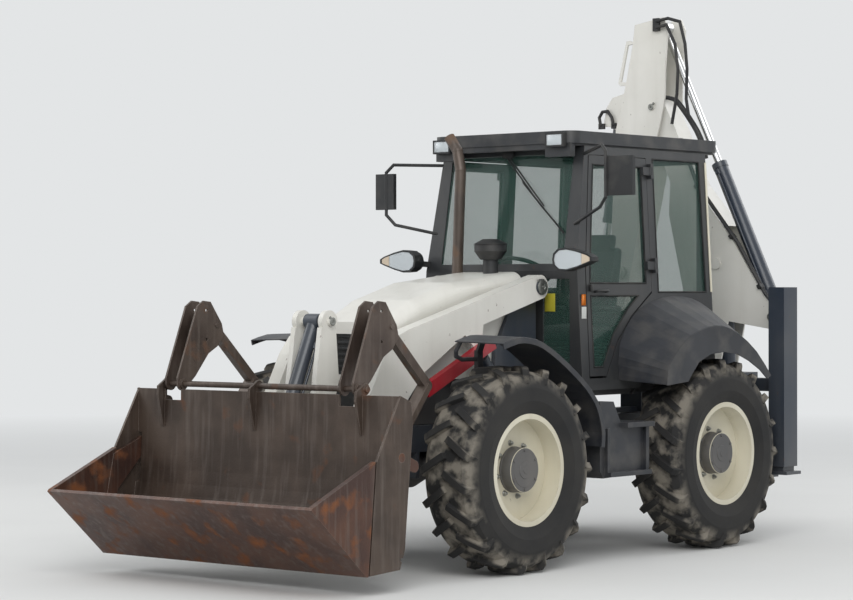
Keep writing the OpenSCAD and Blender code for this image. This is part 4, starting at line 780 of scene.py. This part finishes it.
caps = {}
for body, (x, y, z), radius in ACROSS:
    for s in (1, -1):
        pin_end(caps.setdefault(body, bmesh.new()), at(x, s * y, z), (0, s, 0), radius)
for body, (half, y, z), radius in ALONG:
    for s in (1, -1):
        pin_end(caps.setdefault(body, bmesh.new()), at(HOE_X + s * half, y, z), (s, 0, 0), radius)
for body, form in caps.items():
    piece(f"pin_caps_{body}", form, zinc_steel, body)

# %% [markdown]
# ## The camera
# The camera was solved from the photograph: its place, its turn and its focal length make the rims, the
# bucket's edge and the cab fall where they do in the picture. The focal length is in pixels of the picture,
# so the sensor's width over the picture's width turns it to millimetres.

# %% Camera
PICTURE_WIDTH = 853
FOCAL_LENGTH_PX = 2578.905
YAW, PITCH, ROLL = 3.8476709, -0.002981, -0.001319
camera_data = bpy.data.cameras.new("camera")
camera_data.sensor_width = 36.0
camera_data.lens = FOCAL_LENGTH_PX / PICTURE_WIDTH * camera_data.sensor_width
camera_data.clip_end = 200.0
camera = bpy.data.objects.new("camera", camera_data)
scene = bpy.context.scene
scene.collection.objects.link(camera)
camera.location = at(13603.1, 11840.3, 1894.6)
camera.rotation_mode = "XYZ"
camera.rotation_euler = (math.pi / 2 + PITCH, -ROLL, YAW - math.pi / 2)
scene.camera = camera
scene.view_settings.view_transform = "Standard"
print("camera at", [round(v, 3) for v in camera.location], "lens", round(camera_data.lens, 2), "mm")

# %% [markdown]
# ## Floor, lamps and background
# An overcast sky lights the photograph, so a large soft lamp and an even world do the same here. The floor
# is pale and runs out into the background, so that no horizon cuts the picture. Only the camera and sharp
# reflections see that background, which adds no light of its own.

# %% Floor
BACKDROP = "#e3e5e6"
FADE_FROM_M, FADE_TO_M = 6.0, 22.0
FLOOR_RADIUS_M = 60
bpy.ops.mesh.primitive_circle_add(vertices=96, radius=FLOOR_RADIUS_M, fill_type="NGON")
floor = bpy.context.object
floor.name = "floor"
floor_material, tree, shader, place = start("pale studio floor", 0.85)
tone = blend_colours(tree, patches(tree, place, 2500, 0.3, 0.7), "#e2e2e0", "#dddddb")
tree.links.new(tone, shader.inputs["Base Color"])
distance = add(tree, "ShaderNodeVectorMath", links={0: place}, operation="LENGTH").outputs["Value"]
far = add(tree, "ShaderNodeMapRange", {"From Min": FADE_FROM_M, "From Max": FADE_TO_M}, {"Value": distance},
          clamp=True).outputs["Result"]
seen_by_camera = add(tree, "ShaderNodeLightPath").outputs["Is Camera Ray"]
share = add(tree, "ShaderNodeMath", links={0: far, 1: seen_by_camera}, operation="MULTIPLY").outputs[0]
backdrop = add(tree, "ShaderNodeEmission", {"Color": linear(BACKDROP), "Strength": 1.0})
merged = add(tree, "ShaderNodeMixShader", links={0: share, 1: shader.outputs[0], 2: backdrop.outputs[0]})
tree.links.new(merged.outputs[0], tree.nodes["Material Output"].inputs["Surface"])
floor.data.materials.append(floor_material)
print("floor of", FLOOR_RADIUS_M, "m radius")

# %% Lamps
LIT_POINT = Vector((-0.5, 0, 1.2))
LAMPS = (("key", (9, 8, 9), 1050, 9), ("fill", (4, -10, 7), 350, 8), ("rim", (-10, 3, 8), 350, 7))
for name, lamp_place, power, size in LAMPS:
    lamp = bpy.data.lights.new(name, "AREA")
    lamp.energy, lamp.size = power, size
    lamp_object = bpy.data.objects.new(name, lamp)
    lamp_object.location = lamp_place
    lamp_object.rotation_euler = (LIT_POINT - Vector(lamp_place)).to_track_quat("-Z", "Y").to_euler()
    scene.collection.objects.link(lamp_object)
    print("lamp", name, power, "W")

# %% Background
SKY_STRENGTH = 0.62
world = bpy.data.worlds.new("studio")
world.use_nodes = True
scene.world = world
tree = world.node_tree
sky = tree.nodes["Background"]
sky.inputs["Color"].default_value = linear("#eef1f4")
sky.inputs["Strength"].default_value = SKY_STRENGTH
seen = add(tree, "ShaderNodeBackground", {"Color": linear(BACKDROP), "Strength": 1.0})
rays = add(tree, "ShaderNodeLightPath")
share = rays.outputs["Is Camera Ray"]
for ray in ("Is Transmission Ray", "Is Glossy Ray"):
    share = add(tree, "ShaderNodeMath", links={0: share, 1: rays.outputs[ray]}, operation="MAXIMUM").outputs[0]
chosen = add(tree, "ShaderNodeMixShader", links={0: share, 1: sky.outputs[0], 2: seen.outputs[0]})
tree.links.new(chosen.outputs[0], tree.nodes["World Output"].inputs["Surface"])
print("studio ready")
